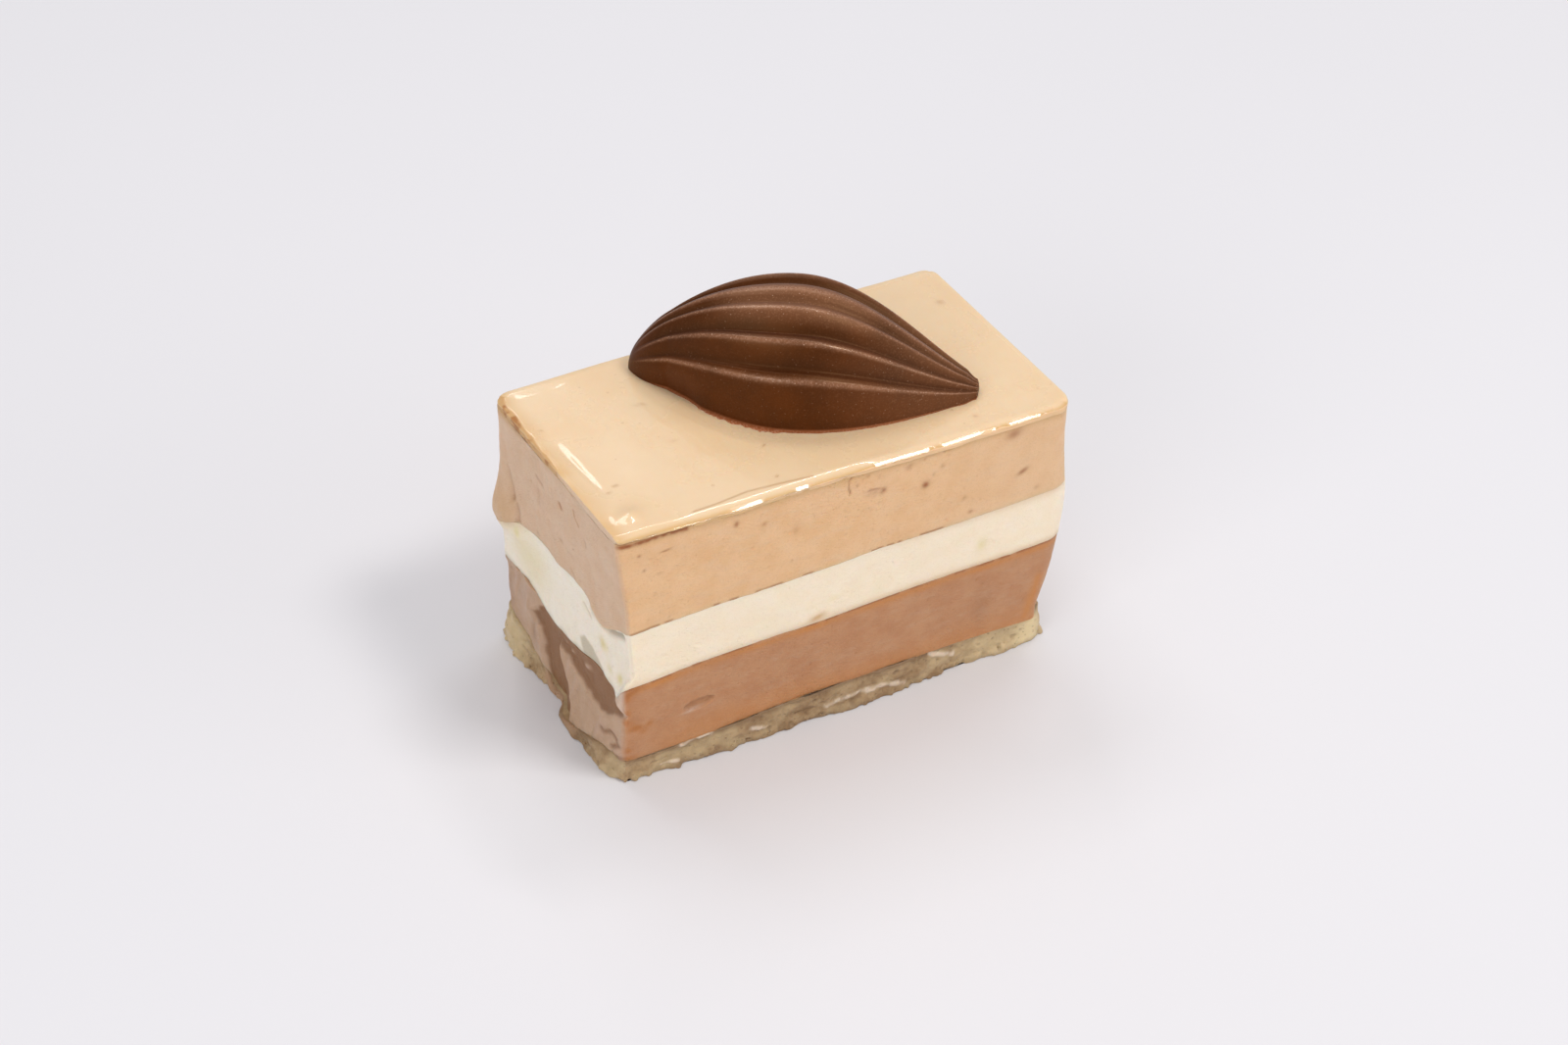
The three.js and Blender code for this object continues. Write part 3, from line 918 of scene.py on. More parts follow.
def chocolate_material(colours):
    """Moulded chocolate: satin, finely mottled, lighter on its crests with painted highlights and glints,
    with painted shade in its grooves and painted sheen on its top, and reddish in its thin flash.
    """
    material, tree, shader = new_material("Moulded chocolate")
    place = object_place(tree)
    shift = cloud(tree, place, scale=130.0, detail=6.0, roughness=0.65).smooth(0.3, 0.7)
    grain = cloud(tree, place, scale=3600.0, detail=2.0)
    specks = place_group(tree, speck_group(), CHOCOLATE_SPECKS)["Specks"]
    crest = mark_field(tree, "crest")
    dust = mark_field(tree, "dust")
    thin = mark_field(tree, "flash") * (grain * 1.7)
    coats = (
        (shift, colours.chocolate_warm),
        # Painted shade in the grooves
        (mark_field(tree, "groove") * 0.6, colours.chocolate_groove_shade),
        # Pale dust towards the stem, and painted sheen along the top
        (dust * 0.2, colours.chocolate_sheen_and_dust),
        # Painted highlights on the crests: the pale crest band, and the pale grain, which is strongest there
        (crest * (shift * 0.4 + 0.3), colours.chocolate_sheen_and_dust),
        (grain.smooth(0.5, 0.75) * (crest * 0.7 + dust * 0.2 + 0.06), colours.chocolate_sheen_and_dust),
        # Bright specks, densest on the crests: partly dust, partly painted glints
        (specks * (crest * 0.9 + dust * 0.25 + 0.12), colours.chocolate_speck_and_glint),
        (mark_field(tree, "foot_edge") * 0.28, colours.chocolate_flash),
        (thin, colours.chocolate_flash),
        (thin * grain.smooth(0.5, 0.6) * 0.5, colours.chocolate_speck_and_glint),
    )
    # The crests shine more, and paler, than the panels
    shine = crest * (grain.smooth(0.35, 0.65) * 0.7 + 0.3)
    values = {
        "Base Color": paint(tree, colours.chocolate, coats),
        "Roughness": grain * 0.14 + 0.36 - crest * 0.16,
        "Specular IOR Level": shine * 0.6 + 0.3,
        "Specular Tint": blend(tree, shine, (1.0, 0.6, 0.3), (1.0, 0.84, 0.72)),
        "Sheen Weight": 0.03,
        "Sheen Roughness": 0.35,
        "Sheen Tint": (1.0, 0.86, 0.78, 1.0),
    }
    fill(tree, shader, values)
    bump(tree, shader, grain, strength=0.5, distance=0.05)
    return material


# Geometry trees


SMALLEST_PIT = 0.35
PIT_FLOOR = 0.25
SMALLEST_CRUMB = 0.3
CRUMB_TURN = 6.28
CRUMB_LUMPS = 1.2


def position(tree):
    return add(tree, "GeometryNodeInputPosition").outputs["Position"]


def read_mark(tree, name):
    return shown(add(tree, "GeometryNodeInputNamedAttribute", {"Name": name}, data_type="FLOAT"), "Attribute")


def store_mark(tree, geometry, name, value):
    values = {"Geometry": geometry, "Name": name, "Value": value}
    node = add(tree, "GeometryNodeStoreNamedAttribute", values, data_type="FLOAT", domain="POINT")
    return shown(node, "Geometry")


def scatter(tree, skin, density, seed):
    values = {"Mesh": skin, "Density": density, "Seed": seed}
    return shown(add(tree, "GeometryNodeDistributePointsOnFaces", values), "Points")


def random_value(tree, low, high, seed, kind):
    values = {"Min": low, "Max": high, "Seed": seed}
    return shown(add(tree, "FunctionNodeRandomValue", values, data_type=kind), "Value")


def push_out(tree, geometry, height):
    """Moves a skin along its own normals."""
    normal = add(tree, "GeometryNodeInputNormal").outputs["Normal"]
    offset = add(tree, "ShaderNodeVectorMath", {"Vector": normal, "Scale": height}, operation="SCALE")
    values = {"Geometry": geometry, "Offset": shown(offset, "Vector")}
    return shown(add(tree, "GeometryNodeSetPosition", values), "Geometry")


def pitted_tree():
    """Pits a skin where its relief mark is set, and roughens it with a fine grain."""
    values = ("Pits Per Square Metre", "Pit Radius", "Pit Depth", "Grain Scale", "Grain Depth")
    tree, given = new_geometry_tree("Pitted skin", values, ("Seed",))
    skin = given["Geometry"]
    seed = given["Seed"]
    relief = read_mark(tree, "relief")
    points = scatter(tree, skin, given["Pits Per Square Metre"] * relief, seed)
    nearest = add(tree, "GeometryNodeSampleNearest", {"Geometry": points})
    draw = random_value(tree, SMALLEST_PIT, 1.0, seed, "FLOAT")
    sample = {"Geometry": points, "Value": draw, "Index": shown(nearest, "Index")}
    size = shown(add(tree, "GeometryNodeSampleIndex", sample, data_type="FLOAT"), "Value")
    away = add(tree, "GeometryNodeProximity", {"Geometry": points}, target_element="POINTS")
    pit = 1.0 - (shown(away, "Distance") / (size * given["Pit Radius"])).smooth(PIT_FLOOR, 1.0)
    grain = cloud(tree, position(tree), given["Grain Scale"], detail=3.0, roughness=0.55)
    swell = (grain - 0.5) * given["Grain Depth"]
    depth = pit * size * given["Pit Depth"]
    moved = push_out(tree, skin, (swell - depth) * relief)
    end_geometry(tree, store_mark(tree, moved, "pit", pit * relief), given["Material"])
    return tree


def pod_profile(share, widest_at, peak, stem, powers):
    """Half width or height of the pod at a share of its length from the rounded tip."""
    tip_power, stem_power = powers
    quarter = math.pi / 2
    rise = (share / widest_at).least(1.0) * quarter
    tip = rise.sin().most(0.0) ** tip_power * peak
    fall = ((share - widest_at) / (1.0 - widest_at)).most(0.0) * quarter
    stem_side = fall.cos().most(0.0) ** stem_power * (peak - stem) + stem
    past = share.math("GREATER_THAN", widest_at)
    return tip * (1.0 - past) + stem_side * past


def pod_section(share, given):
    """Half width and height of the pod, with its blunt tip and worn stem."""
    half_width = pod_profile(
        share, POD_WIDEST_AT, given["Half Width"], given["Stem Half Width"], POD_WIDTH_POWERS
    )
    blunt = (share / POD_TIP_BLUNT_REACH).least(1.0)
    half_width = half_width + blunt ** 0.5 * (1.0 - blunt) * (POD_TIP_BLUNT * MM)
    height = pod_profile(share, POD_HIGHEST_AT, given["Height"], given["Stem Height"], POD_HEIGHT_POWERS)
    worn = 1.0 - share.smooth(POD_WORN_FROM, 1.0) * POD_WORN
    return half_width * worn, height * worn


def pod_ribs(share, from_top, given):
    """How far the ribs stand out, how much of a crest each place is, and how deep in a groove, for painted
    shade.
    """
    # Each cell runs from an upper rib down to a lower one, and the top cell has a rib at both ends
    pitch = given["Rib Pitch"]
    width = given["Rib Width"]
    cells = (from_top.abs() + POD_TOP_TRIM) / pitch + 0.5
    cell = cells.math("FLOOR").least(given["Rib Count"] * 0.5)
    below_upper = (cells - cell) * pitch
    above_lower = pitch - below_upper
    top_cell = cell.math("LESS_THAN", 0.5)
    last_cell = cell.math("GREATER_THAN", given["Rib Count"] * 0.5 - 0.5)
    ridge_above = above_lower.bell(width) * (1.0 - last_cell)
    ridge_below = below_upper.bell(width) * (1.0 - top_cell)
    panel = (1.0 - below_upper.smooth(width * 0.5, pitch * 0.9)) * (1.0 - top_cell)
    gather = share.smooth(*POD_GATHER_FADE) * POD_GATHER + 1.0
    deep = given["Groove Depth"] * gather * (1.0 - top_cell * 0.5) * (1.0 - last_cell)
    standing = ridge_above.math("SMOOTH_MAX", panel * 0.8 + ridge_below * 0.2, 0.2)
    relief = standing * (given["Rib Height"] + deep) - deep
    thin_line = (above_lower - POD_LINE_ABOVE).bell(POD_LINE_WIDTH) * (1.0 - last_cell)
    begun = share.smooth(*POD_RIBS_BEGIN)
    relief = (relief + thin_line * (POD_LINE_HEIGHT * MM)) * begun
    crest = ridge_above.most(ridge_below) ** POD_CREST_POWER * begun
    # Painted shade: how deep in a groove each place is
    groove = (1.0 - ridge_above.most(panel)) * (1.0 - last_cell) * begun
    return relief, crest, groove


def pod_flash(tree, share, above_foot):
    """The ragged thin flash and the ledge along the near foot, as shares of its reach."""
    wave = {"W": share * 24.0, "Scale": 1.0, "Detail": 5.0, "Roughness": 0.75}
    ragged = shown(add(tree, "ShaderNodeTexNoise", wave, noise_dimensions="1D"), "Fac").smooth(0.25, 0.75)
    thin = share.between(*POD_FLASH_SPAN) * (ragged * 0.7 + 0.3)
    ledge = share.smooth(*POD_LEDGE_BEGIN) * (ragged * 0.1 + 0.25)
    return (1.0 - above_foot.smooth(*POD_FLASH_UP)) * thin.most(ledge)


POD_VALUES = (
    "Length", "Half Width", "Height", "Stem Half Width", "Stem Height", "Rib Pitch", "Rib Height",
    "Rib Width", "Groove Depth", "Rib Count", "Flash Reach", "Tuck", "Stem Bulge",
)


def pod_sheet(tree, given):
    """A flat sheet, with the share of the length, the closing of the stem and the turn at each place."""
    steps = {"Vertices X": given["Steps Along"], "Vertices Y": given["Steps Around"]}
    sheet = add(tree, "GeometryNodeMeshGrid", {"Size X": 1.0, "Size Y": 1.0, **steps})
    split = add(tree, "ShaderNodeSeparateXYZ", {"Vector": position(tree)})
    spaced = shown(split, "X") + 0.5
    turn = shown(split, "Y") + 0.5
    closing_from = 1.0 - POD_CLOSING
    run = (spaced / closing_from).least(1.0)
    shut = 1.0 - ((spaced - closing_from) / POD_CLOSING).most(0.0)
    share = 0.5 - (run * math.pi).cos() * 0.5
    return shown(sheet, "Mesh"), share, shut, turn


def lay_pod(tree, pod):
    """Joins the pod's seams, lays it on the glaze and shades it smooth."""
    joined = add(tree, "GeometryNodeMergeByDistance", {"Geometry": pod, "Distance": POD_MERGE})
    tip = (POD_TIP[0] - PLAN_MIDDLE[0], POD_TIP[1] - PLAN_MIDDLE[1], POD_REST_Z)
    values = {
        "Geometry": shown(joined, "Geometry"),
        "Translation": tuple(part * MM for part in tip),
        "Rotation": (0.0, 0.0, POD_TURN),
    }
    placed = add(tree, "GeometryNodeTransform", values)
    smoothed = add(tree, "GeometryNodeSetShadeSmooth", {"Geometry": shown(placed, "Geometry")})
    return shown(smoothed, "Geometry")


def pod_tree():
    """A ribbed pod: a sheet wrapped round a tapering section, scalloped by ridges that run along it."""
    tree, given = new_geometry_tree("Ribbed pod", POD_VALUES, ("Steps Along", "Steps Around"))
    sheet, share, shut, turn = pod_sheet(tree, given)
    half_width, height = pod_section(share, given)
    part = (turn / POD_ARCH_SHARE).least(1.0)
    angle = (part - (part * (2 * math.pi)).sin() * (POD_BUNCHING / (2 * math.pi))) * math.pi
    above_foot = math.pi - angle
    calm = 1.0 - angle.smooth(*POD_LOW_RIB) * POD_LOW_RIB_CALM
    sway = (share - POD_SWAY_AT).bell(POD_SWAY_REACH) * POD_SWAY * calm
    from_top = angle - sway - (math.pi / 2 + POD_ROLL)
    relief, crest, groove = pod_ribs(share, from_top, given)
    swollen = relief / given["Half Width"] + 1.0
    flash = pod_flash(tree, share, above_foot)
    tucked = share.between(*POD_TUCK_SPAN) * (1.0 - above_foot.smooth(*POD_TUCK_UP))
    power = 2.0 / POD_ROUNDNESS
    across = angle.cos()
    arch_side = across.sign() * across.abs() ** power * half_width * swollen
    arch_side = arch_side - flash * given["Flash Reach"] + tucked * given["Tuck"]
    arch_up = angle.sin().most(0.0) ** power * height * swollen
    flat = ((turn - POD_ARCH_SHARE) / (1.0 - POD_ARCH_SHARE)).most(0.0)
    under = turn.math("GREATER_THAN", POD_ARCH_SHARE)
    flat_side = (flat * 2.0 - 1.0) * half_width
    sideways = (arch_side * (1.0 - under) + flat_side * under) * shut
    end_middle = height * POD_END_MIDDLE
    up = end_middle + (arch_up * (1.0 - under) - end_middle) * shut
    along = share * given["Length"] + (1.0 - shut * shut) * given["Stem Bulge"]
    # Painted sheen along the top, where it catches the overhead light; it joins the dust towards the stem
    top_sheen = (1.0 - from_top.abs().smooth(*POD_SHEEN_ROUND)) * share.between(*POD_SHEEN_SPAN)
    # The marks are worked out on the flat sheet, before it is wrapped
    marks = {
        "crest": crest,
        "groove": groove,
        "flash": flash,
        "foot_edge": (1.0 - above_foot.smooth(*POD_FOOT_EDGE_UP)) * share.smooth(*POD_FOOT_EDGE_BEGIN),
        "dust": share.smooth(*POD_GATHER_FADE).most(top_sheen * 1.5),
    }
    for label, value in marks.items():
        sheet = store_mark(tree, sheet, label, value * (1.0 - under))
    wrapped = add(tree, "ShaderNodeCombineXYZ", {"X": along, "Y": sideways, "Z": up})
    shaped = add(tree, "GeometryNodeSetPosition", {"Geometry": sheet, "Position": shown(wrapped, "Vector")})
    end_geometry(tree, lay_pod(tree, shown(shaped, "Geometry")), given["Material"])
    return tree


def crumb_tree():
    """Loose crumbs, half sunk in a skin where its foot mark is set."""
    tree, given = new_geometry_tree("Loose crumbs", ("Crumbs Per Square Metre", "Crumb Size"), ("Seed",))
    seed = given["Seed"]
    size = given["Crumb Size"]
    density = read_mark(tree, "foot") * given["Crumbs Per Square Metre"]
    ball = add(tree, "GeometryNodeMeshIcoSphere", {"Radius": size, "Subdivisions": 2})
    values = {
        "Points": scatter(tree, given["Geometry"], density, seed),
        "Instance": shown(ball, "Mesh"),
        "Rotation": random_value(tree, (0.0,) * 3, (CRUMB_TURN,) * 3, seed, "FLOAT_VECTOR"),
        "Scale": random_value(tree, (SMALLEST_CRUMB,) * 3, (1.0,) * 3, seed, "FLOAT_VECTOR"),
    }
    crumbs = add(tree, "GeometryNodeInstanceOnPoints", values)
    real = add(tree, "GeometryNodeRealizeInstances", {"Geometry": shown(crumbs, "Instances")})
    lumps = (cloud(tree, position(tree), scale=2600.0, detail=1.0) - 0.5) * size * CRUMB_LUMPS
    end_geometry(tree, push_out(tree, shown(real, "Geometry"), lumps), given["Material"])
    return tree


# Marks and relief of each layer, in millimetres: along the front or from front to back, and up


def mousse_loft(layer, sizes, edge):
    """A skin for a layer, with its points closer on the front and the left."""
    step = sizes.mesh_step / MM
    units = outline_units(layer.block, step, step * 1.6)
    middle = float(layer.top(0.0, 0.0) - layer.bottom(0.0, 0.0))
    return Loft(layer, units, round(middle / step), edge, CAP_SCALES)


def along_side(loft, x, y):
    """The place along a side, from left to right or from front to back."""
    return np.where(loft.face["front"] + loft.face["back"] > 0.5, x, y)


def drag_relief(loft, depth, seed):
    """Knife drag: long shallow streaks and lumps, deeper on the left side."""
    x, y, z = loft.at()
    along = along_side(loft, x, y)
    streaks = noise(along, z, (0.9, 6.0), seed)
    lumps = noise(along, z, 5.0, seed + 1)
    small = noise(along, z, 1.5, seed + 2)
    rough = 0.35 + 0.65 * loft.face["left"] + 0.35 * loft.face["right"]
    return depth * rough * (0.35 * streaks + 1.0 * lumps + 0.45 * small)


def side_marks(loft):
    """Sets the marks that all layers have, and gives the points and the shares of the two seen sides."""
    x, y, z = loft.at()
    below_top = 1 - smooth(loft.share, 1 - RELIEF_FADE, 1.0)
    loft.marks["relief"] = loft.side * below_top * smooth(loft.share, 0.0, RELIEF_FADE)
    # The left side, and the right one by half, take the greyer dragged tone: partly knife smear, partly
    # painted side light
    loft.marks["dragged"] = loft.face["left"] + 0.5 * loft.face["right"]
    return x, y, z, loft.face["front"], loft.face["left"]


FRONT_TAN_STAINS = (
    ((13.3, 40.4), (0.6, 0.6), 0, 1.0),
    ((30.5, 37.0), (1.0, 0.45), 25, 0.8),
    ((21.6, 32.4), (0.4, 0.35), 0, 0.6),
    ((20.3, 35.5), (0.45, 0.45), 0, 0.35),
    ((-18.0, 44.0), (0.4, 0.55), 0, 0.8),
    ((-13.5, 42.4), (0.5, 0.4), 0, 0.5),
    ((28.3, 44.8), (1.3, 0.9), 10, 0.65),
    ((33.3, 33.0), (0.5, 0.4), 0, 0.3),
    ((-8.2, 39.3), (0.5, 0.7), 0, 0.28),
    ((16.0, 43.0), (0.45, 0.3), 0, 0.4),
    ((10.2, 44.5), (0.6, 0.4), 0, 0.3),
    ((-29.0, 43.0), (0.8, 0.15), 8, 0.9),
    ((-33.2, 43.4), (0.3, 0.25), 0, 0.7),
    ((-32.4, 40.4), (0.25, 0.25), 0, 0.6),
    ((-30.0, 39.0), (0.5, 0.14), 0, 0.5),
    ((-36.7, 42.2), (0.35, 0.3), 0, 1.0),
    ((-36.6, 38.8), (0.3, 0.3), 0, 1.0),
)
LEFT_TAN_STAINS = (
    ((12.5, 32.2), (0.5, 0.8), 0, 0.5),
    ((-1.6, 33.7), (0.4, 0.45), 0, 0.4),
    ((11.2, 45.8), (0.4, 0.6), 0, 0.4),
    ((-6.9, 46.4), (0.35, 0.4), 0, 0.6),
)
LEFT_TAN_STREAKS = (
    (((-2.0, 41.2), (-2.4, 40.4)), 0.28, 0.7),
    (((-6.7, 43.3), (-6.9, 42.2), (-7.9, 41.1)), 0.17, 0.7),
    (((5.3, 41.2), (3.3, 40.6)), 0.3, 0.4),
    # This streak is painted shade in a shallow groove
    (((4.8, 38.8), (4.8, 36.3)), 0.5, 0.2),
    (((-9.3, 39.3), (-9.4, 38.2)), 0.22, 0.35),
    (((-3.8, 29.8), (-4.9, 28.7)), 0.2, 0.3),
    (((11.5, 31.4), (10.8, 30.1), (10.5, 28.2)), 0.4, 0.3),
    (((14.5, 35.8), (13.5, 34.2), (12.5, 32.2)), 0.6, 0.2),
)
LUMP_LINE = ((14.5, 35.8), (12.5, 32.2), (10.8, 30.1), (10.4, 27.5))
LUMP_LINE_WIDTH = 0.9
BUBBLE_SPOTS = (
    ((6.3, 41.6), (0.5, 0.7), -15, 0.8),
    ((4.4, 42.2), (1.5, 0.25), -4, 0.55),
    ((4.9, 41.3), (1.3, 0.7), 0, 0.25),
    ((1.8, 44.0), (0.3, 0.35), 0, 0.45),
    ((3.6, 45.2), (0.3, 0.3), 0, 0.5),
    ((5.4, 44.5), (0.25, 0.4), 0, 0.35),
    ((10.4, 44.9), (0.7, 0.35), 10, 0.5),
    ((12.8, 45.3), (0.28, 0.25), 0, 0.5),
    ((16.0, 43.3), (0.28, 0.28), 0, 0.5),
    ((14.6, 41.9), (0.3, 0.4), 0, 0.3),
    ((16.7, 45.9), (0.4, 0.25), 0, 0.4),
)
TAN_CRACK = ((-37.4, 46.0), (-34.0, 45.8), (-31.5, 45.95), (-29.5, 46.1), (-26.0, 46.0))
TAN_CRACK_WIDTH = 0.4
SPLIT = ((1.1, 46.3), (0.4, 45.4), (0.3, 44.2), (0.7, 42.9))
SPLIT_WIDTH = 0.16
BUBBLES = (
    ((4.9, 41.2), (1.5, 1.0), 0, 1.0),
    ((5.6, 39.2), (0.35, 0.35), 0, 0.8),
    ((14.0, 45.3), (0.9, 0.4), 0, 0.8),
)
SEAM_DASHES = (
    (-36.5, -27.9), (-22.4, -20.3), (-18.9, -17.1), (-14.6, -10.1), (-6.8, -5.0), (3.5, 10.0), (13.0, 17.0),
)
SEAM_DASH_END = 0.3
SEAM_LIFT = 0.15
SEAM_REACH = 0.2
SOAKED_LUMP_BACK = (10.6, 12.4)
SOAKED_LUMP_UP = (29.0, 36.0)
DRIP_BACK = (-6.0, 8.0)
DRIP_UP = (45.2, 46.4)
PALE_EDGE_RIGHT = (0.0, 30.0)
PAINTED_LIGHT_RIGHT = (8.0, 32.0)
TAN_LIP_REACH = 0.8
TAN_LIP_SPAN = ((-18.0, -15.5), (-10.5, -8.5))


def tan_finish(loft):
    """The tan layer: stains, a streak of painted shade in a groove, a dashed seam, bubbles with dark edges,
    gold where glaze soaked in, and painted light towards the right of the front.
    """
    x, y, z, front, left = side_marks(loft)
    low = loft.layer.block.tan_bottom(loft.x, loft.y)
    broken = smooth(wander(x, 0.9, 11), -0.7, -0.2)
    seam = bell(z - low - SEAM_LIFT, SEAM_REACH) * front * dashes(x, SEAM_DASHES, SEAM_DASH_END) * broken
    streaks = np.maximum(spots(y, z, LEFT_TAN_STAINS), trails(y, z, LEFT_TAN_STREAKS))
    stains = np.maximum(spots(x, z, FRONT_TAN_STAINS) * front, streaks * left)
    bubbles = spots(x, z, BUBBLES) * front
    edges = np.maximum(spots(x, z, BUBBLE_SPOTS), trail(x, z, SPLIT, SPLIT_WIDTH) * 0.7)
    edges = edges * (0.85 + 0.4 * noise(x, z, 0.5, 14)) * front
    crack = trail(x, z, TAN_CRACK, TAN_CRACK_WIDTH) * (1.0 + 0.6 * noise(x, z, 0.6, 15)) * front
    loft.marks["stain"] = strongest(stains, seam * 0.8, edges, crack)
    lump = smooth(y, *SOAKED_LUMP_BACK) * (1 - smooth(z, *SOAKED_LUMP_UP)) * 0.4
    drip = smooth(z, DRIP_UP[0] + wander(y, 2.2, 12), DRIP_UP[1]) * smooth(y, *DRIP_BACK)
    rim = bell(z - TAN_TOP_Z, 1.0) * front * 0.7
    loft.marks["gold"] = np.maximum(np.maximum(lump, drip) * left, rim)
    lower_edge = bell(z - low, 1.0) * smooth(x, *PALE_EDGE_RIGHT) * 0.6
    # Painted light: the front grows paler towards its right end, where more light falls
    paler_and_lit = np.maximum(lower_edge, smooth(x, *PAINTED_LIGHT_RIGHT) * 0.35)
    loft.marks["pale"] = np.maximum(paler_and_lit, bubbles * 0.35) * front
    fold = trail(y, z, LUMP_LINE, LUMP_LINE_WIDTH) * left
    lip = bell(z - low, TAN_LIP_REACH) * between(y, *TAN_LIP_SPAN) * left
    drag = drag_relief(loft, depth=0.16, seed=13)
    loft.push(drag + 0.3 * lip - 0.3 * bubbles - 0.2 * edges - 0.4 * fold - 0.25 * stains * left)


WHITE_CREASES = (
    (((-9.8, 26.1), (-12.2, 25.1), (-14.0, 25.2), (-16.0, 26.2), (-18.4, 27.5)), 0.6, 1.0),
    (((-7.2, 25.4), (-8.3, 24.9), (-9.1, 24.4)), 0.35, 0.7),
)
LEFT_YELLOWS = (
    ((-12.2, 21.2), (1.0, 1.3), 0, 0.8),
    ((-16.9, 17.8), (0.7, 1.1), 20, 0.8),
    ((-14.1, 17.6), (0.9, 0.8), 0, 0.4),
    ((10.6, 26.8), (0.7, 1.3), 0, 0.7),
    ((9.0, 23.0), (5.0, 5.0), 0, 0.45),
)
FRONT_YELLOWS = (((24.2, 25.0), (0.9, 1.2), 0, 0.5), ((-1.2, 23.8), (1.0, 0.5), 0, 0.25))
GREY_PATCH = (
    (-5.6, 17.6), (-6.4, 15.0), (-9.0, 14.0), (-12.8, 13.6),
    (-13.2, 14.6), (-11.2, 16.4), (-9.0, 18.1), (-6.8, 18.8),
)
GREY_EDGE = 0.35
WHITE_FOLDS = (((-29.2, 23.0), (0.7, 0.16), -15, 1.0), ((-23.8, 23.0), (0.7, 0.16), -30, 1.0))
GOLD_DABS = (((-4.0, 20.9), (1.5, 0.65), 15, 0.8),)
TAN_BLEED_REACH = 0.9
TAN_BLEED_RIGHT = (-10.0, 35.0)
BROWN_BLEED_REACH = 0.8
BROWN_BLEED_RIGHT = (-25.0, 20.0)
LUMP_BLEED_REACH = 1.2
LUMP_BLEED_BACK = (6.0, 12.0)


def white_finish(loft):
    """The white layer: a crease with painted shade, yellow and grey patches, and edges tinted by its
    neighbours.
    """
    x, y, z, front, left = side_marks(loft)
    block = loft.layer.block
    crease = trails(y, z, WHITE_CREASES)
    # Painted shade in the crease under the tan layer's overhang
    loft.marks["stain"] = crease * left * 0.6
    loft.marks["yellow"] = np.maximum(spots(y, z, LEFT_YELLOWS) * left, spots(x, z, FRONT_YELLOWS) * front)
    above_brown = z - block.white_bottom(loft.x, loft.y)
    below_tan = z - block.tan_bottom(loft.x, loft.y)
    ragged = bell(above_brown, 0.5 + 0.4 * wander(y, 1.3, 21)) * 0.5
    loft.marks["grey"] = np.maximum(patch(y, z, GREY_PATCH, GREY_EDGE) * 0.85, ragged) * left
    tan_edge = bell(below_tan, TAN_BLEED_REACH) * smooth(x, *TAN_BLEED_RIGHT) * front * 0.5
    brown_share = 0.45 + 0.35 * smooth(x, *BROWN_BLEED_RIGHT)
    brown_edge = bell(above_brown, BROWN_BLEED_REACH) * brown_share * front
    lump_edge = bell(below_tan, LUMP_BLEED_REACH) * smooth(y, *LUMP_BLEED_BACK) * left * 0.7
    loft.marks["bleed"] = strongest(tan_edge, brown_edge, lump_edge)
    loft.marks["gold"] = spots(x, z, GOLD_DABS) * front
    folds = spots(x, z, WHITE_FOLDS) * front
    loft.push(drag_relief(loft, depth=0.13, seed=23) - 0.6 * crease * left - 0.15 * folds)


CORNER_SWIRL = (
    (-32.8, 18.4), (-35.2, 17.6), (-36.3, 15.6), (-36.0, 12.6), (-34.6, 10.6), (-32.8, 9.6), (-31.6, 10.4),
)
CORNER_SWIRL_WIDTH = 0.7
CORNER_SPOTS = (
    ((-35.4, 13.8), (0.6, 0.8), 0, 0.9),
    ((-34.0, 10.4), (1.3, 0.7), -10, 1.0),
    ((-35.4, 6.2), (0.5, 0.6), 0, 0.8),
    ((-35.8, 4.6), (1.6, 0.5), 0, 0.8),
)
DRIP_PATCH = ((-15.6, 16.0), (-16.4, 13.6), (-18.0, 13.0), (-22.0, 12.6), (-22.0, 19.5), (-17.0, 18.0))
HOOK = ((-13.9, 6.3), (-14.8, 6.2), (-16.3, 7.3), (-17.9, 7.4), (-19.3, 6.8), (-17.1, 5.0))
HOOK_WIDTH = 0.42
LOW_PATCH = ((-17.8, 3.9), (-20.0, 4.5))
LOW_PATCH_WIDTH = 0.6
PATCH_EDGE = 0.3
LEFT_PALES = (
    ((-7.9, 13.4), (1.0, 0.5), -25, 0.9),
    ((-3.1, 12.7), (0.5, 0.4), 0, 0.8),
    ((-1.6, 13.4), (0.4, 0.3), 0, 0.6),
    ((12.0, 11.0), (1.6, 4.0), 0, 0.5),
)
LEFT_DARKS = (
    ((8.7, 7.7), (1.0, 1.8), 0, 0.55),
    ((16.5, 11.0), (1.2, 5.0), 0, 0.35),
    ((1.0, 1.5), (4.0, 1.5), 0, 0.3),
)
DENT = ((-23.6, 11.2), (2.6, 0.95), 4)
DENT_LIP = ((-25.0, 10.3), (1.6, 0.2), 4)
DARK_PATCH = ((25.3, 12.0), (1.6, 4.0))
RIGHT_STREAK = ((35.4, 14.2), (34.6, 10.5), (33.6, 6.8))
RIGHT_STREAK_WIDTH = 0.9
WARM_STRIP_BELOW = 0.8
WARM_STRIP_REACH = 0.7
WARM_LOW_UP = (6.0, 10.5)
WARM_LOW_RIGHT = (-34.0, -24.0)
BROWN_SEAM_BELOW = 0.1
BROWN_SEAM_REACH = 0.22
FOOT_SHADOW_REACH = 0.7
FOOT_SHADOW_X = -2.0
FOOT_SHADOW_FADE = (16.0, 22.0)


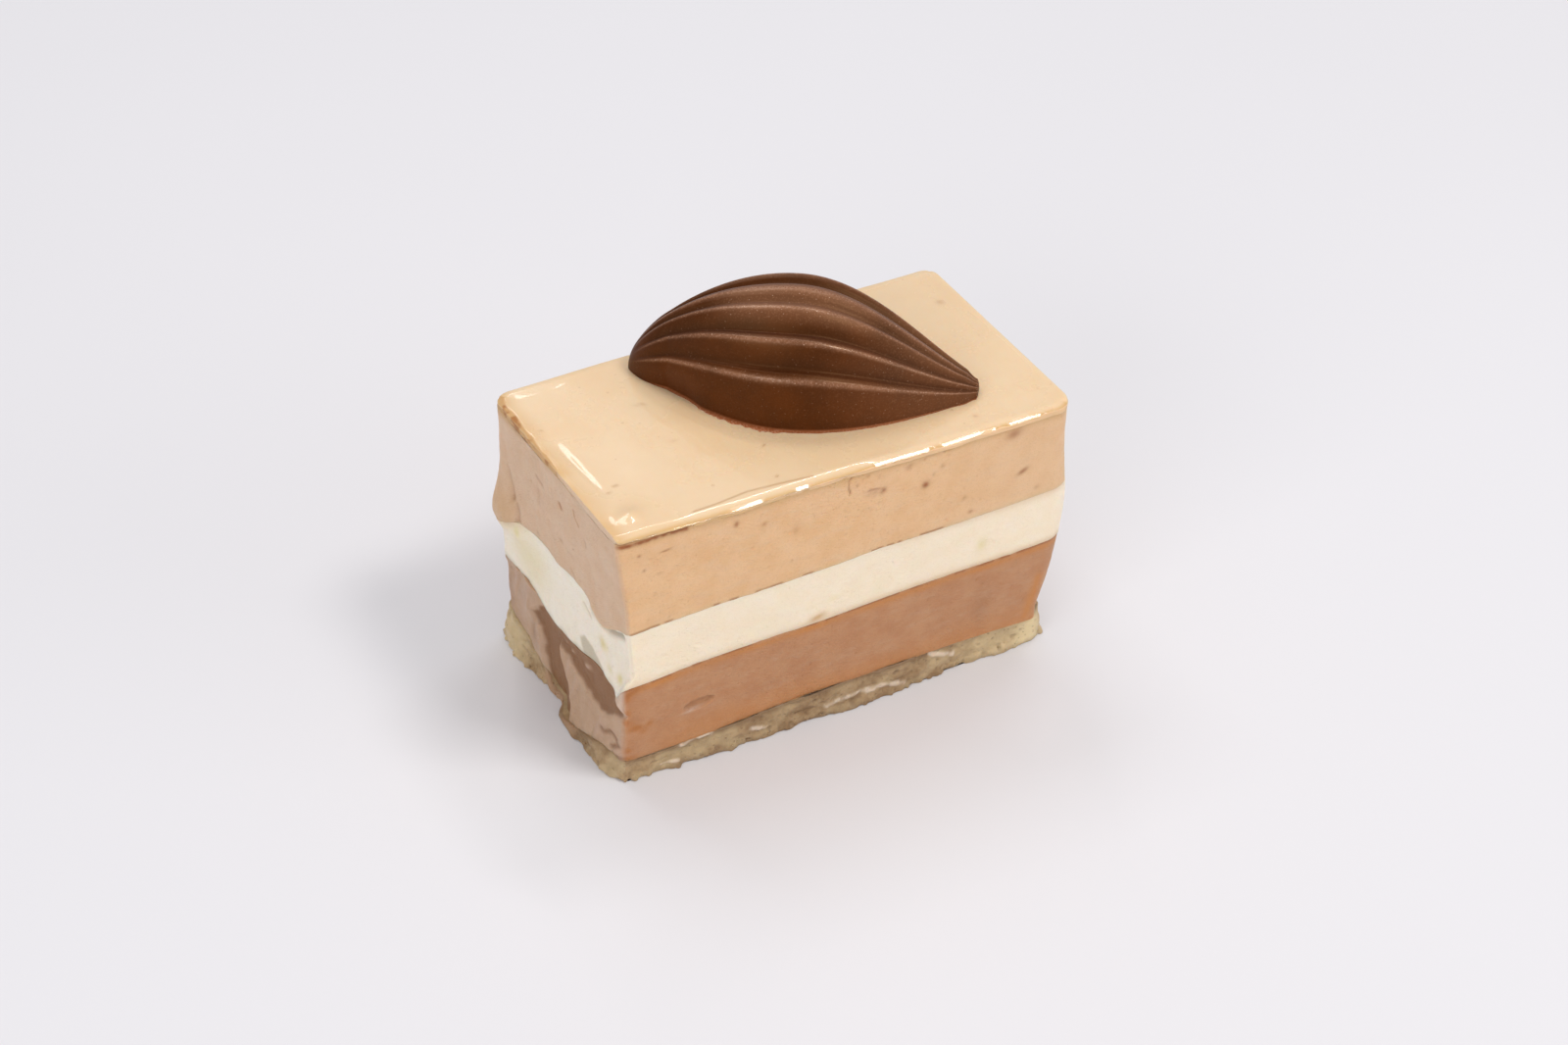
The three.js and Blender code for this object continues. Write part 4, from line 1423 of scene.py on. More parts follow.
def brown_finish(loft):
    """The brown layer: a bare patch and smears on the left, warm strips, a dent with painted shade inside and
    a painted highlight on its lip, a swirl on the front, and a painted shadow along its foot.
    """
    x, y, z, front, left = side_marks(loft)
    block = loft.layer.block
    wavy_y = y + 0.25 * noise(y, z, 1.6, 31)
    wavy_z = z + 0.25 * noise(y, z, 1.3, 32)
    bare = patch(wavy_y, wavy_z, BARE_PATCH, PATCH_EDGE)
    pales = spots(y, z, LEFT_PALES)
    smears = smooth(noise(y + 0.3 * z, z, (1.3, 6.0), 33), -0.1, 0.7)
    drip = patch(y + 0.2 * wander(z, 0.8, 37), z, DRIP_PATCH, PATCH_EDGE)
    loft.marks["drip"] = drip * left
    wisps = np.maximum(trail(y, z, HOOK, HOOK_WIDTH), trail(y, z, LOW_PATCH, LOW_PATCH_WIDTH)) * 0.8
    wisps = np.maximum(wisps, spots(y, z, LEFT_DARKS))
    dent = smooth(spot(x, z, *DENT), 0.33, 0.48)
    dent_lip = spot(x, z, *DENT_LIP)
    # The dent's lower lip gets a painted highlight in the pale colour
    loft.marks["pale"] = np.maximum(pales, 0.4 * smears * (1 - bare)) * left + 0.8 * dent_lip * front
    on_left = np.maximum(bare * (1 - pales), wisps) * left
    # Painted shade inside the dent; the patch on the right is just darker
    on_front = (dent * 0.18 + spot(x, z, *DARK_PATCH) * 0.25) * front
    loft.marks["bare"] = np.maximum(on_left, on_front)
    below_white = block.white_bottom(loft.x, loft.y) - z
    strip = bell(below_white - WARM_STRIP_BELOW, WARM_STRIP_REACH) * (0.75 + 0.25 * wander(x, 5.0, 34))
    lower = (1 - smooth(z, *WARM_LOW_UP)) * 0.4 * smooth(x, *WARM_LOW_RIGHT)
    swirl = trail(x, z, CORNER_SWIRL, CORNER_SWIRL_WIDTH) * (0.7 + 0.5 * noise(x, z, 1.1, 38))
    corner = spots(x, z, CORNER_SPOTS)
    streak = trail(x, z, RIGHT_STREAK, RIGHT_STREAK_WIDTH) * 0.8
    loft.marks["orange"] = strongest(strip, lower, swirl, corner, streak) * front
    broken = smooth(wander(x, 1.6, 35), -0.3, 0.15)
    seam = bell(below_white - BROWN_SEAM_BELOW, BROWN_SEAM_REACH) * broken * 0.9
    # Painted shadow: a soft dark line just above the sponge, over the middle of the front
    above_sponge = z - block.sponge_top(loft.x, loft.y)
    middle = 1 - smooth(np.abs(x - FOOT_SHADOW_X), *FOOT_SHADOW_FADE)
    foot = bell(above_sponge, FOOT_SHADOW_REACH) * middle * 0.3
    loft.marks["stain"] = strongest(seam, foot, swirl * 0.55, corner * 0.5) * front
    rough = (0.3 * smears * (1 - bare) + 0.08 * drip + 0.4 * pales * bare) * left + 0.25 * dent_lip * front
    hollow = 0.5 * dent * front + 0.25 * wisps * left
    loft.push(drag_relief(loft, depth=0.16, seed=36) + rough - hollow)


CREAM_DABS = (
    (((-26.5, 4.1), (-24.0, 4.6), (-21.5, 4.4)), 0.55),
    (((-15.0, 2.8), (-12.5, 2.0)), 0.5),
    (((-2.0, 2.2), (3.0, 2.7), (8.0, 2.3), (12.0, 1.5)), 0.6),
    (((16.6, 5.2), (17.6, 4.7), (21.0, 3.4)), 0.5),
    (((-30.0, 1.5), (-27.0, 1.1)), 0.3),
)
SPONGE_PALE_RIGHT = (18.0, 28.0)
SPONGE_PALE_END = (31.0, 35.0)
SPONGE_PALE_BACK = (7.0, 14.0)
SPONGE_SHADE_REACH = 0.6
FOOT_SHADE_UP = (0.1, 1.2)
SHADE_FRONT = ((-31.0, -27.0), (14.0, 22.0))
BULGE_SHADOW_LEFT = ((-15.0, -11.0), (0.0, 5.0))
CRUMB_FOOT = ((0.25, 0.6), (0.5, 1.6))
FRAY_UP = (0.2, 1.6)
SPONGE_SMEAR = ((-14.0, -6.0), (4.0, 7.0))


def sponge_finish(loft):
    """The sponge: painted shade under the brown layer, in its holes, at its foot and in darker patches; pale
    parts, holes, dabs of cream, a smear on the left and a frayed foot.
    """
    x, y, z, front, left = side_marks(loft)
    along = along_side(loft, x, y)
    broken = smooth(noise(x, z, 0.9, 41), -0.3, 0.3)
    dabs = strongest(*(trail(x, z, points, width) for points, width in CREAM_DABS))
    loft.marks["cream"] = smooth(dabs * (0.55 + 0.45 * broken), 0.2, 0.8) * front
    pale_front = (0.5 * smooth(x, *SPONGE_PALE_RIGHT) + 0.5 * smooth(x, *SPONGE_PALE_END)) * front
    pale_left = 0.6 * smooth(y, *SPONGE_PALE_BACK) * left
    pale_lumps = 0.35 * smooth(noise(along, z, 3.0, 42), 0.0, 0.7)
    loft.marks["pale"] = strongest(pale_front, pale_left, pale_lumps)
    above = z - loft.layer.block.sponge_top(loft.x, loft.y)
    # Painted shade along the top of the sponge, under the brown layer's edge, weaker on the left
    under = bell(above, SPONGE_SHADE_REACH) * (0.7 - 0.4 * left)
    holes = smooth(noise(along, z, (1.3, 0.8), 43), 0.5, 0.95)
    foot_shade = (1 - smooth(z, *FOOT_SHADE_UP)) * 0.4 * front
    shade_patches = 0.2 * between(x, *SHADE_FRONT) * front + 0.4 * between(y, *BULGE_SHADOW_LEFT) * left
    # All of the shade mark is painted shade: under the brown layer, in holes, at the foot and over the middle
    # of the front, and in the bulge's shadow on the left
    shade = strongest(under * 0.8, holes * 0.4, foot_shade) + shade_patches
    loft.marks["shade"] = np.minimum(shade, 1.0) * loft.side
    loft.marks["foot"] = between(z, *CRUMB_FOOT) * loft.side
    crumb = 0.5 * noise(along, z, (2.4, 1.4), 44) + 0.25 * noise(along, z, 0.9, 45)
    long_fray = 0.5 * smooth(wander(along, 2.3, 46), 0.1, 1.0)
    short_fray = 0.35 * smooth(noise(along, z, 0.8, 48), 0.0, 0.8)
    frayed = (1 - smooth(z, *FRAY_UP)) * (long_fray + short_fray)
    loft.push(crumb * 0.35 - 0.2 * holes + frayed * loft.side + 0.15 * loft.marks["cream"])
    smear = between(y, *SPONGE_SMEAR) * 0.6 + 0.35 * noise(y, z, 1.6, 47)
    loft.marks["smear"] = smooth(smear, 0.3, 0.8) * left
    loft.marks["dragged"] = left


TOP_LINE = ((-24.0, -18.6), (-20.0, -18.4), (-15.0, -17.8), (-10.0, -18.2), (-5.0, -18.7))
TOP_LINE_WIDTH = 0.17
TOP_STAINS = (
    ((-20.3, 7.3), (0.5, 0.4), 0, 0.55),
    ((-31.5, -8.5), (0.3, 0.3), 0, 0.9),
    ((-33.0, -9.6), (0.4, 0.25), 20, 0.5),
    ((-19.7, -2.8), (0.3, 0.3), 0, 0.5),
    ((-8.0, -9.3), (0.25, 0.25), 0, 0.6),
    ((-9.6, -16.5), (0.25, 0.25), 0, 0.7),
    ((23.5, -16.5), (0.3, 0.3), 0, 0.5),
    ((33.4, 11.3), (0.6, 0.6), 0, 0.4),
    ((-36.0, 7.7), (0.25, 0.25), 0, 0.5),
)
LIP_DASHES = ((-19.2, -13.2), (-8.7, -5.9), (4.3, 13.9), (15.1, 25.2), (26.6, 33.0))
LIP_DASH_END = 0.5
LIP_CRACK = ((-37.6, 46.25), (-34.0, 46.1), (-31.5, 46.25), (-29.5, 46.4), (-27.0, 46.35), (-25.0, 46.15))
LIP_CRACK_WIDTH = 0.45
# From here on the right the lip's streaks are narrower and steeper, and ease again near its end
LIP_FAR = (1.0, 6.0)
LIP_END = (20.0, 28.0)
LIP_ROUNDING = 0.06
BACK_ROLL = 1.2
RIGHT_ROLL = 1.0
TORN_BACK = (-9.0, 12.0)
TORN_WIDTH = 0.85
# Shallow furrows and swellings of the glaze that catch the light
GLAZE_FURROWS = (((-35.0, 0.0), (0.6, 2.4)), ((-34.4, -4.5), (0.3, 4.0)))
GLAZE_FURROW_TURN = 8
GLAZE_SWELLING = ((-32.6, -15.6), (1.7, 1.5), 20)
FRONT_RIM_REACH = 0.5
LEFT_RIM_REACH = 1.9
DULL_REACH = 0.6
TORN_SIDE_BACK = (-2.0, 6.0)
DRAGGED_AND_SIDE_LIGHT_BACK = (-6.0, 2.0)
CUT_FRONT_RIGHT = (-20.0, 0.0)


def torn_edge(loft, y, from_x):
    """The left edge is sharp at the front and torn open towards the back: where, and how deep."""
    on_left = loft.u < 0
    width = TORN_WIDTH * smooth(y, *TORN_BACK) * (0.8 + 0.4 * wander(y, 1.7, 56)) + 0.01
    torn = np.where(on_left, 1 - smooth(from_x, width * 0.8, width * 1.1), 0.0) * smooth(width, 0.1, 0.3)
    depth = np.where(on_left, np.clip(1 - from_x / width, 0.0, 1.0), 0.0) * np.minimum(width, 1.0)
    return torn, depth


def lip_drop(loft, sizes, x, from_y):
    """The front edge slopes evenly, and dips further where it carries a bright streak."""
    run = sizes.lip_roll / MM + 0.2 * wander(x, 4.5, 50) - from_y
    slope = 0.5 * (run + np.sqrt(run ** 2 + LIP_ROUNDING))
    far = smooth(x, *LIP_FAR)
    dash_reach = np.maximum(0.0, 0.6 - 0.16 * far - from_y)
    dash_drop = (0.2 + 0.37 * far - 0.07 * smooth(x, *LIP_END)) * dash_reach
    drop = (0.45 - 0.25 * far) * slope + dashes(x, LIP_DASHES, LIP_DASH_END) * dash_drop
    return np.where(loft.v < 0, drop, 0.0)


def glaze_swell(x, y, edge):
    """Low swellings and furrows of the top, which fade out to its edge."""
    swell = 0.08 * noise(x, y, 8.0, 51) + 0.02 * noise(x, y, 3.0, 52)
    furrow = 0.42 * spot(x, y, *GLAZE_SWELLING)
    for middle, reach in GLAZE_FURROWS:
        furrow = furrow - 0.1 * spot(x, y, middle, reach, GLAZE_FURROW_TURN)
    return (swell - 0.08) * smooth(edge, 0.0, 3.0) + furrow * smooth(edge, 0.4, 1.5)


def glaze_finish(loft, sizes):
    """The glaze: its sloping lip, torn left edge, swellings, rims, specks and a fine line."""
    block = loft.layer.block
    x, y, z = loft.at()
    front = loft.face["front"]
    from_x = block.half_length * (1 - np.abs(loft.u))
    from_y = block.half_depth * (1 - np.abs(loft.v))
    top = smooth(loft.share, 0.5, 1.0)
    back_roll = np.where(loft.v < 0, 0.0, np.clip(1 - from_y / BACK_ROLL, 0.0, 1.0)) ** 2
    right_roll = np.where(loft.u < 0, 0.0, np.clip(1 - from_x / RIGHT_ROLL, 0.0, 1.0)) ** 2
    torn, chamfer = torn_edge(loft, y, from_x)
    drop = lip_drop(loft, sizes, x, from_y) + 0.2 * back_roll + 0.15 * right_roll
    rough = 0.05 * noise(x, y, 0.9, 57) * torn
    loft.z = loft.z - (np.minimum(drop, 1.0) + 0.4 * chamfer + rough) * top
    loft.z = loft.z + glaze_swell(x, y, np.minimum(from_x, from_y)) * top
    lip = front * (sizes.lip_out / MM) * (1 + 0.8 * wander(x, 3.5, 53))
    broken = trail(x, z, LIP_CRACK, LIP_CRACK_WIDTH) * (1.0 + 0.5 * noise(x, z, 0.7, 55))
    broken = smooth(broken, 0.35, 0.6) * smooth(front, 0.0, 0.3)
    loft.push(lip + 0.04 * noise(x + y, z, 1.5, 54) - 0.25 * broken)
    front_rim = np.where(loft.v < 0, bell(from_y, FRONT_RIM_REACH), 0.0)
    left_rim = bell(from_x, LEFT_RIM_REACH) * (0.75 + 0.3 * noise(x, y, 2.4, 49))
    left_rim = np.where(loft.u < 0, left_rim, 0.0)
    loft.marks["rim"] = strongest(front_rim, left_rim, 0.8 * loft.side)
    left_side = loft.face["left"] * loft.side
    loft.marks["torn"] = np.maximum(torn, left_side * smooth(y, *TORN_SIDE_BACK))
    loft.marks["crumb"] = smooth(noise(x + z, y, 1.1, 58) + 0.4 * noise(x, y, 0.5, 59), 0.1, 0.6)
    # The front part of the glaze's left side takes the tan's dragged tone, partly painted side light
    loft.marks["dragged"] = left_side * (1 - smooth(y, *DRAGGED_AND_SIDE_LIGHT_BACK))
    line = trail(x, y, TOP_LINE, TOP_LINE_WIDTH) * top * 0.6
    loft.marks["line"] = np.maximum(line, spots(x, y, TOP_STAINS) * top * (1 - loft.side))
    cut_front = front * loft.side * smooth(x, *CUT_FRONT_RIGHT)
    loft.marks["cut"] = cut_front
    behind = np.where(loft.v > 0, bell(from_y, DULL_REACH), 0.0)
    other_sides = loft.side * (1 - front)
    loft.marks["dull"] = strongest(bell(from_x, DULL_REACH), behind, other_sides, torn, cut_front, broken)
    loft.marks["stain"] = broken


# What a user would change


def srgb(red, green, blue):
    """A colour as read from a picture, as the light values that a shader takes."""
    values = []
    for part in (red, green, blue):
        share = part / 255
        values.append(share / 12.92 if share <= 0.04045 else ((share + 0.055) / 1.055) ** 2.4)
    return tuple(values)


def length_prop(name, description, millimetres):
    default = millimetres * MM
    return FloatProperty(name=name, description=description, default=default, unit="LENGTH", precision=5)


def power_prop(name, description, watts):
    return FloatProperty(name=name, description=description, default=watts, unit="POWER")


def angle_prop(name, description, degrees):
    return FloatProperty(name=name, description=description, default=math.radians(degrees), unit="ROTATION")


def colour_prop(name, description, red, green, blue):
    return FloatVectorProperty(
        name=name,
        description=description,
        default=srgb(red, green, blue),
        subtype="COLOR",
        size=3,
        min=0.0,
        max=1.0,
    )


class CakeSizes(bpy.types.PropertyGroup):
    """Sizes of the block and its glaze."""

    block_length: length_prop("Block length", "Length of the block along its front", 75.4)
    block_depth: length_prop("Block depth", "Depth of the block from front to back", 39.9)
    mesh_step: length_prop("Mesh step", "Spacing of points on the block's front and left faces", 0.24)
    lip_out: length_prop("Lip overhang", "How far the glaze stands over the front face", 0.16)
    lip_roll: length_prop("Lip roll", "How wide the glaze slopes down at the front edge", 1.3)
    pit_radius: length_prop("Pit radius", "Radius of the largest pits in the mousse", 0.34)
    pit_depth: length_prop("Pit depth", "Depth of the largest pits in the mousse", 0.2)
    crumb_size: length_prop("Crumb size", "Radius of the largest loose crumb", 0.26)


class PodSizes(bpy.types.PropertyGroup):
    """Sizes of the ribbed chocolate pod."""

    length: length_prop("Length", "Length of the pod from tip to stem", 52.6)
    half_width: length_prop("Half width", "Half of the pod's widest width", 13.0)
    height: length_prop("Height", "Height of the pod over the glaze", 15.5)
    stem_half_width: length_prop("Stem half width", "Half of the stem end's width", 2.1)
    stem_height: length_prop("Stem height", "Height of the stem end", 2.4)
    rib_count: IntProperty(name="Ribs", description="Number of ribs along the pod", default=6, min=2, max=8)
    rib_pitch: angle_prop("Rib pitch", "Angle from one rib to the next round the pod", 23.1)
    rib_width: angle_prop("Rib width", "Half width of a rib as an angle round the pod", 6.0)
    rib_height: length_prop("Rib height", "How far a rib stands up", 0.7)
    groove_depth: length_prop("Groove depth", "How deep the groove above a rib is", 0.75)
    flash_reach: length_prop("Flash reach", "How far the thin flash sticks out at the foot", 1.1)
    tuck: length_prop("Tuck", "How far the foot draws in beside the tip", 0.7)
    stem_bulge: length_prop("Stem bulge", "How far the stem's cut end bulges out", 0.35)


class TanColours(bpy.types.PropertyGroup):
    """Colours of the tan mousse."""

    cut: colour_prop("Cut", "Cleanly cut face", 233, 191, 146)
    cut_deep: colour_prop("Cut, deeper", "Mottling of the cut face", 226, 180, 131)
    # Dragged tones are partly the knife-smeared sides and partly painted side light
    dragged: colour_prop("Dragged", "Face dragged by the knife", 219, 187, 157)
    dragged_and_side_light_deep: colour_prop("Dragged, deeper", "Mottling of the dragged face", 212, 175, 142)
    # Painted shade inside pores and pits; it also tints the grain
    pore: colour_prop("Pore", "Inside of pores and pits", 156, 108, 70)


class WhiteColours(bpy.types.PropertyGroup):
    """Colours of the white mousse."""

    cut: colour_prop("Cut", "Cleanly cut face", 252, 233, 208)
    cut_deep: colour_prop("Cut, deeper", "Mottling of the cut face", 249, 229, 200)
    # Dragged tones are partly the knife-smeared sides and partly painted side light
    dragged: colour_prop("Dragged", "Face dragged by the knife", 251, 239, 222)
    dragged_and_side_light_deep: colour_prop("Dragged, deeper", "Mottling of the dragged face", 246, 232, 209)
    # Painted shade inside pores and pits; it also tints the grain
    pore: colour_prop("Pore", "Inside of pores and pits", 204, 176, 136)


class BrownColours(bpy.types.PropertyGroup):
    """Colours of the brown mousse."""

    cut: colour_prop("Cut", "Cleanly cut face", 191, 140, 100)
    cut_deep: colour_prop("Cut, deeper", "Mottling of the cut face", 182, 127, 87)
    # Dragged tones are partly the knife-smeared sides and partly painted side light
    dragged: colour_prop("Dragged", "Face dragged by the knife", 197, 164, 136)
    dragged_and_side_light_deep: colour_prop("Dragged, deeper", "Mottling of the dragged face", 184, 149, 119)
    # Painted shade inside pores and pits; it also tints the grain
    pore: colour_prop("Pore", "Inside of pores and pits", 110, 68, 42)


class CakeColours(bpy.types.PropertyGroup):
    """Colours of the sponge, the glaze, the chocolate and the marks on the mousse."""

    sponge: colour_prop("Sponge", "Wet crumb", 184, 154, 114)
    sponge_dark: colour_prop("Sponge, deeper", "Soaked crumb", 148, 117, 80)
    sponge_pale: colour_prop("Sponge, pale", "Dry pale crumb", 222, 200, 156)
    # Painted shade colour: in holes and pores, under the brown layer and at the foot
    sponge_shade: colour_prop("Sponge, shade", "Inside of holes in the crumb", 112, 82, 52)
    cream: colour_prop("Cream", "Dabs of cream on the crumb", 232, 212, 190)
    glaze: colour_prop("Glaze", "Glaze over the pale mousse", 235, 206, 168)
    glaze_deep: colour_prop("Glaze, deeper", "Thicker glaze", 231, 196, 152)
    glaze_rim: colour_prop("Glaze rim", "Glaze along its edge", 216, 172, 112)
    glaze_line: colour_prop("Glaze line", "Fine lines in the glaze", 170, 112, 54)
    # Also paints the shadow line along the brown layer's foot
    stain: colour_prop("Stain", "Brown specks and cracks", 154, 90, 46)
    gold: colour_prop("Gold", "Mousse soaked with glaze", 202, 158, 104)
    crease: colour_prop("Crease", "Olive shade in a crease", 120, 104, 74)
    yellow: colour_prop("Yellow", "Yellow patches in the white mousse", 224, 208, 140)
    grey: colour_prop("Grey", "Thin white mousse over brown", 196, 184, 160)
    bleed: colour_prop("Bleed", "White mousse tinted by its neighbours", 226, 190, 152)
    # Also paints the shade inside the dent on the front
    bare: colour_prop("Bare", "Bare brown mousse", 144, 104, 72)
    drip: colour_prop("Drip", "Thin white mousse drawn over brown", 216, 188, 166)
    smear: colour_prop("Smear", "Brown mousse smeared over the crumb", 178, 140, 108)
    pale: colour_prop("Pale smear", "Pale smear on brown mousse", 196, 168, 150)
    orange: colour_prop("Orange", "Warm brown strip", 198, 131, 68)
    chocolate: colour_prop("Chocolate", "Moulded chocolate", 67, 29, 5)
    chocolate_warm: colour_prop("Chocolate, warm", "Warmer mottling", 84, 38, 6)
    # Painted shade colour for the grooves
    chocolate_groove_shade: colour_prop("Chocolate, dark", "Chocolate in the grooves", 48, 20, 4)
    # Painted highlight on the crests and painted sheen on the top, also pale dust and grain
    chocolate_sheen_and_dust: colour_prop("Chocolate, worn", "Chocolate on the ribs' crests", 160, 112, 82)
    # Partly dust, partly painted glints
    chocolate_speck_and_glint: colour_prop("Chocolate speck", "Tiny bright specks on the crests", 214, 176, 150)
    chocolate_flash: colour_prop("Chocolate flash", "Thin reddish flash at the foot", 190, 110, 68)


class StageLook(bpy.types.PropertyGroup):
    """Floor and light of the studio."""

    floor: colour_prop("Floor", "Colour of the floor", 226, 224, 227)
    sky: colour_prop("Surround", "Colour of the light from all round", 250, 251, 255)
    sky_strength: FloatProperty(
        name="Surround light", description="Strength of the light from all round", default=0.5, min=0.0
    )
    key_power: power_prop("Key light", "Power of the key light", 3.1)
    overhead_power: power_prop("Overhead light", "Power of the wide light overhead", 1.5)
    fill_power: power_prop("Fill light", "Power of the light from the left", 3.1)
    front_power: power_prop("Front light", "Power of the light from the front", 1.7)
    strip_power: power_prop("Strip light", "Power of the narrow light overhead", 0.9)
    back_power: power_prop("Back light", "Power of the small light behind", 0.2)


class CakeSettings(bpy.types.PropertyGroup):
    """All that a user would change on the cake."""

    sizes: PointerProperty(type=CakeSizes)
    pod: PointerProperty(type=PodSizes)
    colours: PointerProperty(type=CakeColours)
    tan: PointerProperty(type=TanColours)
    white: PointerProperty(type=WhiteColours)
    brown: PointerProperty(type=BrownColours)
    stage: PointerProperty(type=StageLook)


# The pieces and the stage


# How far neighbouring layers reach into each other, and the radius of their edges, in millimetres
SPONGE_OVERLAP = 0.1
MOUSSE_OVERLAP = 0.06
SPONGE_EDGE = 0.3
MOUSSE_EDGE = 0.08
GLAZE_EDGE = 0.16
GLAZE_STEPS = (0.35, 0.5)
GLAZE_RISE = 6
# Rings of the glaze's flat faces, closest at the rim
GLAZE_CAP = 1 - np.linspace(0.0, 1.0, 61)[1:] ** 2.2 * 0.995
SPONGE_SKIN = {
    "Pits Per Square Metre": 160000.0,
    "Pit Radius": 0.5 * MM,
    "Pit Depth": 0.22 * MM,
    "Grain Scale": 1100.0,
    "Grain Depth": 0.25 * MM,
    "Seed": 4,
}
SPONGE_CRUMBS = {"Crumbs Per Square Metre": 250000.0, "Seed": 7}
MOUSSE_GRAIN = {"Grain Scale": 1400.0, "Grain Depth": 0.11 * MM}
MOUSSE_PITS = {"brown": 20000.0, "white": 6000.0, "tan": 50000.0}
MOUSSE_SEEDS = {"brown": 20, "white": 21, "tan": 22}
MOUSSE_FINISHES = {"brown": brown_finish, "white": white_finish, "tan": tan_finish}
# Each mark of a layer with the colour that it takes, in the order in which they are painted
MOUSSE_MARKS = {
    "brown": {"orange": "orange", "pale": "pale", "bare": "bare", "drip": "drip", "stain": "stain"},
    "white": {"bleed": "bleed", "gold": "gold", "yellow": "yellow", "grey": "grey", "stain": "crease"},
    "tan": {"pale": "bleed", "gold": "gold", "stain": "stain"},
}
POD_STEPS = {"Steps Along": 220, "Steps Around": 420}


class CAKE_OT_sponge(bpy.types.Operator):
    """Make the crumbly sponge at the foot, with its loose crumbs"""

    bl_idname = "cake.sponge"
    bl_label = "Sponge"

    def execute(self, context):
        settings = context.scene.mousse_cake
        block = Block(settings.sizes)
        layer = Layer(
            block,
            bottom=lambda x, y: 0.0 * x,
            top=lambda x, y: block.sponge_top(x, y) + SPONGE_OVERLAP,
            left=block.sponge_left,
            right=block.sponge_right,
            front=block.sponge_front,
            back=block.sponge_back,
        )
        loft = mousse_loft(layer, settings.sizes, SPONGE_EDGE)
        sponge_finish(loft)
        mesh = loft.mesh("sponge_skin")
        material = sponge_material(settings.colours)
        values = {**SPONGE_CRUMBS, "Crumb Size": settings.sizes.crumb_size, "Material": material}
        crumbs = run_tree("crumbs", mesh.copy(), crumb_tree(), values)
        finish_piece(crumbs)
        piece = run_tree("sponge_crumb", mesh, pitted_tree(), {**SPONGE_SKIN, "Material": material})
        finish_piece(piece, "sponge_base")
        return {"FINISHED"}


def mousse_layer(name, block):
    """One layer of mousse, which reaches a little into its neighbours."""
    bottoms = {
        "brown": lambda x, y: block.sponge_top(x, y) - SPONGE_OVERLAP,
        "white": lambda x, y: block.white_bottom(x, y) - MOUSSE_OVERLAP,
        "tan": lambda x, y: block.tan_bottom(x, y) - MOUSSE_OVERLAP,
    }
    tops = {
        "brown": lambda x, y: block.white_bottom(x, y) + MOUSSE_OVERLAP,
        "white": lambda x, y: block.tan_bottom(x, y) + MOUSSE_OVERLAP,
        "tan": lambda x, y: TAN_TOP_Z + 0.0 * x,
    }
    lefts = {"brown": block.brown_left, "white": block.white_left, "tan": block.tan_left}
    sides = (lefts[name], block.mousse_right, block.cut_face, block.cut_face)
    return Layer(block, bottoms[name], tops[name], *sides)


class CAKE_OT_mousse(bpy.types.Operator):
    """Make the three layers of mousse"""

    bl_idname = "cake.mousse"
    bl_label = "Mousse layers"

    def execute(self, context):
        settings = context.scene.mousse_cake
        sizes = settings.sizes
        block = Block(sizes)
        tree = pitted_tree()
        for name, finish in MOUSSE_FINISHES.items():
            loft = mousse_loft(mousse_layer(name, block), sizes, MOUSSE_EDGE)
            finish(loft)
            marks = [(mark, getattr(settings.colours, tone)) for mark, tone in MOUSSE_MARKS[name].items()]
            values = {
                **MOUSSE_GRAIN,
                "Pits Per Square Metre": MOUSSE_PITS[name],
                "Pit Radius": sizes.pit_radius,
                "Pit Depth": sizes.pit_depth,
                "Seed": MOUSSE_SEEDS[name],
                "Material": mousse_material(name.capitalize() + " mousse", getattr(settings, name), marks),
            }
            piece = run_tree(name + "_layer", loft.mesh(name + "_skin"), tree, values)
            finish_piece(piece, name + "_mousse")
        return {"FINISHED"}


class CAKE_OT_glaze(bpy.types.Operator):
    """Make the clear glaze on the top, with its rolled lip"""

    bl_idname = "cake.glaze"
    bl_label = "Glaze"

    def execute(self, context):
        settings = context.scene.mousse_cake
        block = Block(settings.sizes)
        layer = Layer(
            block,
            bottom=lambda x, y: GLAZE_BOTTOM_Z + 0.0 * x,
            top=lambda x, y: TOP_Z + 0.0 * x,
            left=block.tan_left,
            right=block.mousse_right,
            front=block.cut_face,
            back=block.cut_face,
        )
        loft = Loft(layer, outline_units(block, *GLAZE_STEPS), GLAZE_RISE, GLAZE_EDGE, tuple(GLAZE_CAP[::-1]))
        glaze_finish(loft, settings.sizes)
        mesh = loft.mesh("glaze")
        mesh.materials.append(glaze_material(settings.colours, settings.tan))
        piece = bpy.data.objects.new("glaze", mesh)
        context.scene.collection.objects.link(piece)
        finish_piece(piece)
        return {"FINISHED"}


class CAKE_OT_pod(bpy.types.Operator):
    """Make the ribbed chocolate pod that lies on the glaze"""

    bl_idname = "cake.pod"
    bl_label = "Chocolate pod"

    def execute(self, context):
        settings = context.scene.mousse_cake
        values = {**POD_STEPS, "Material": chocolate_material(settings.colours)}
        for label in POD_VALUES:
            values[label] = float(getattr(settings.pod, label.lower().replace(" ", "_")))
        piece = run_tree("pod_shell", bpy.data.meshes.new("pod_start"), pod_tree(), values)
        finish_piece(piece, "chocolate_pod")
        return {"FINISHED"}


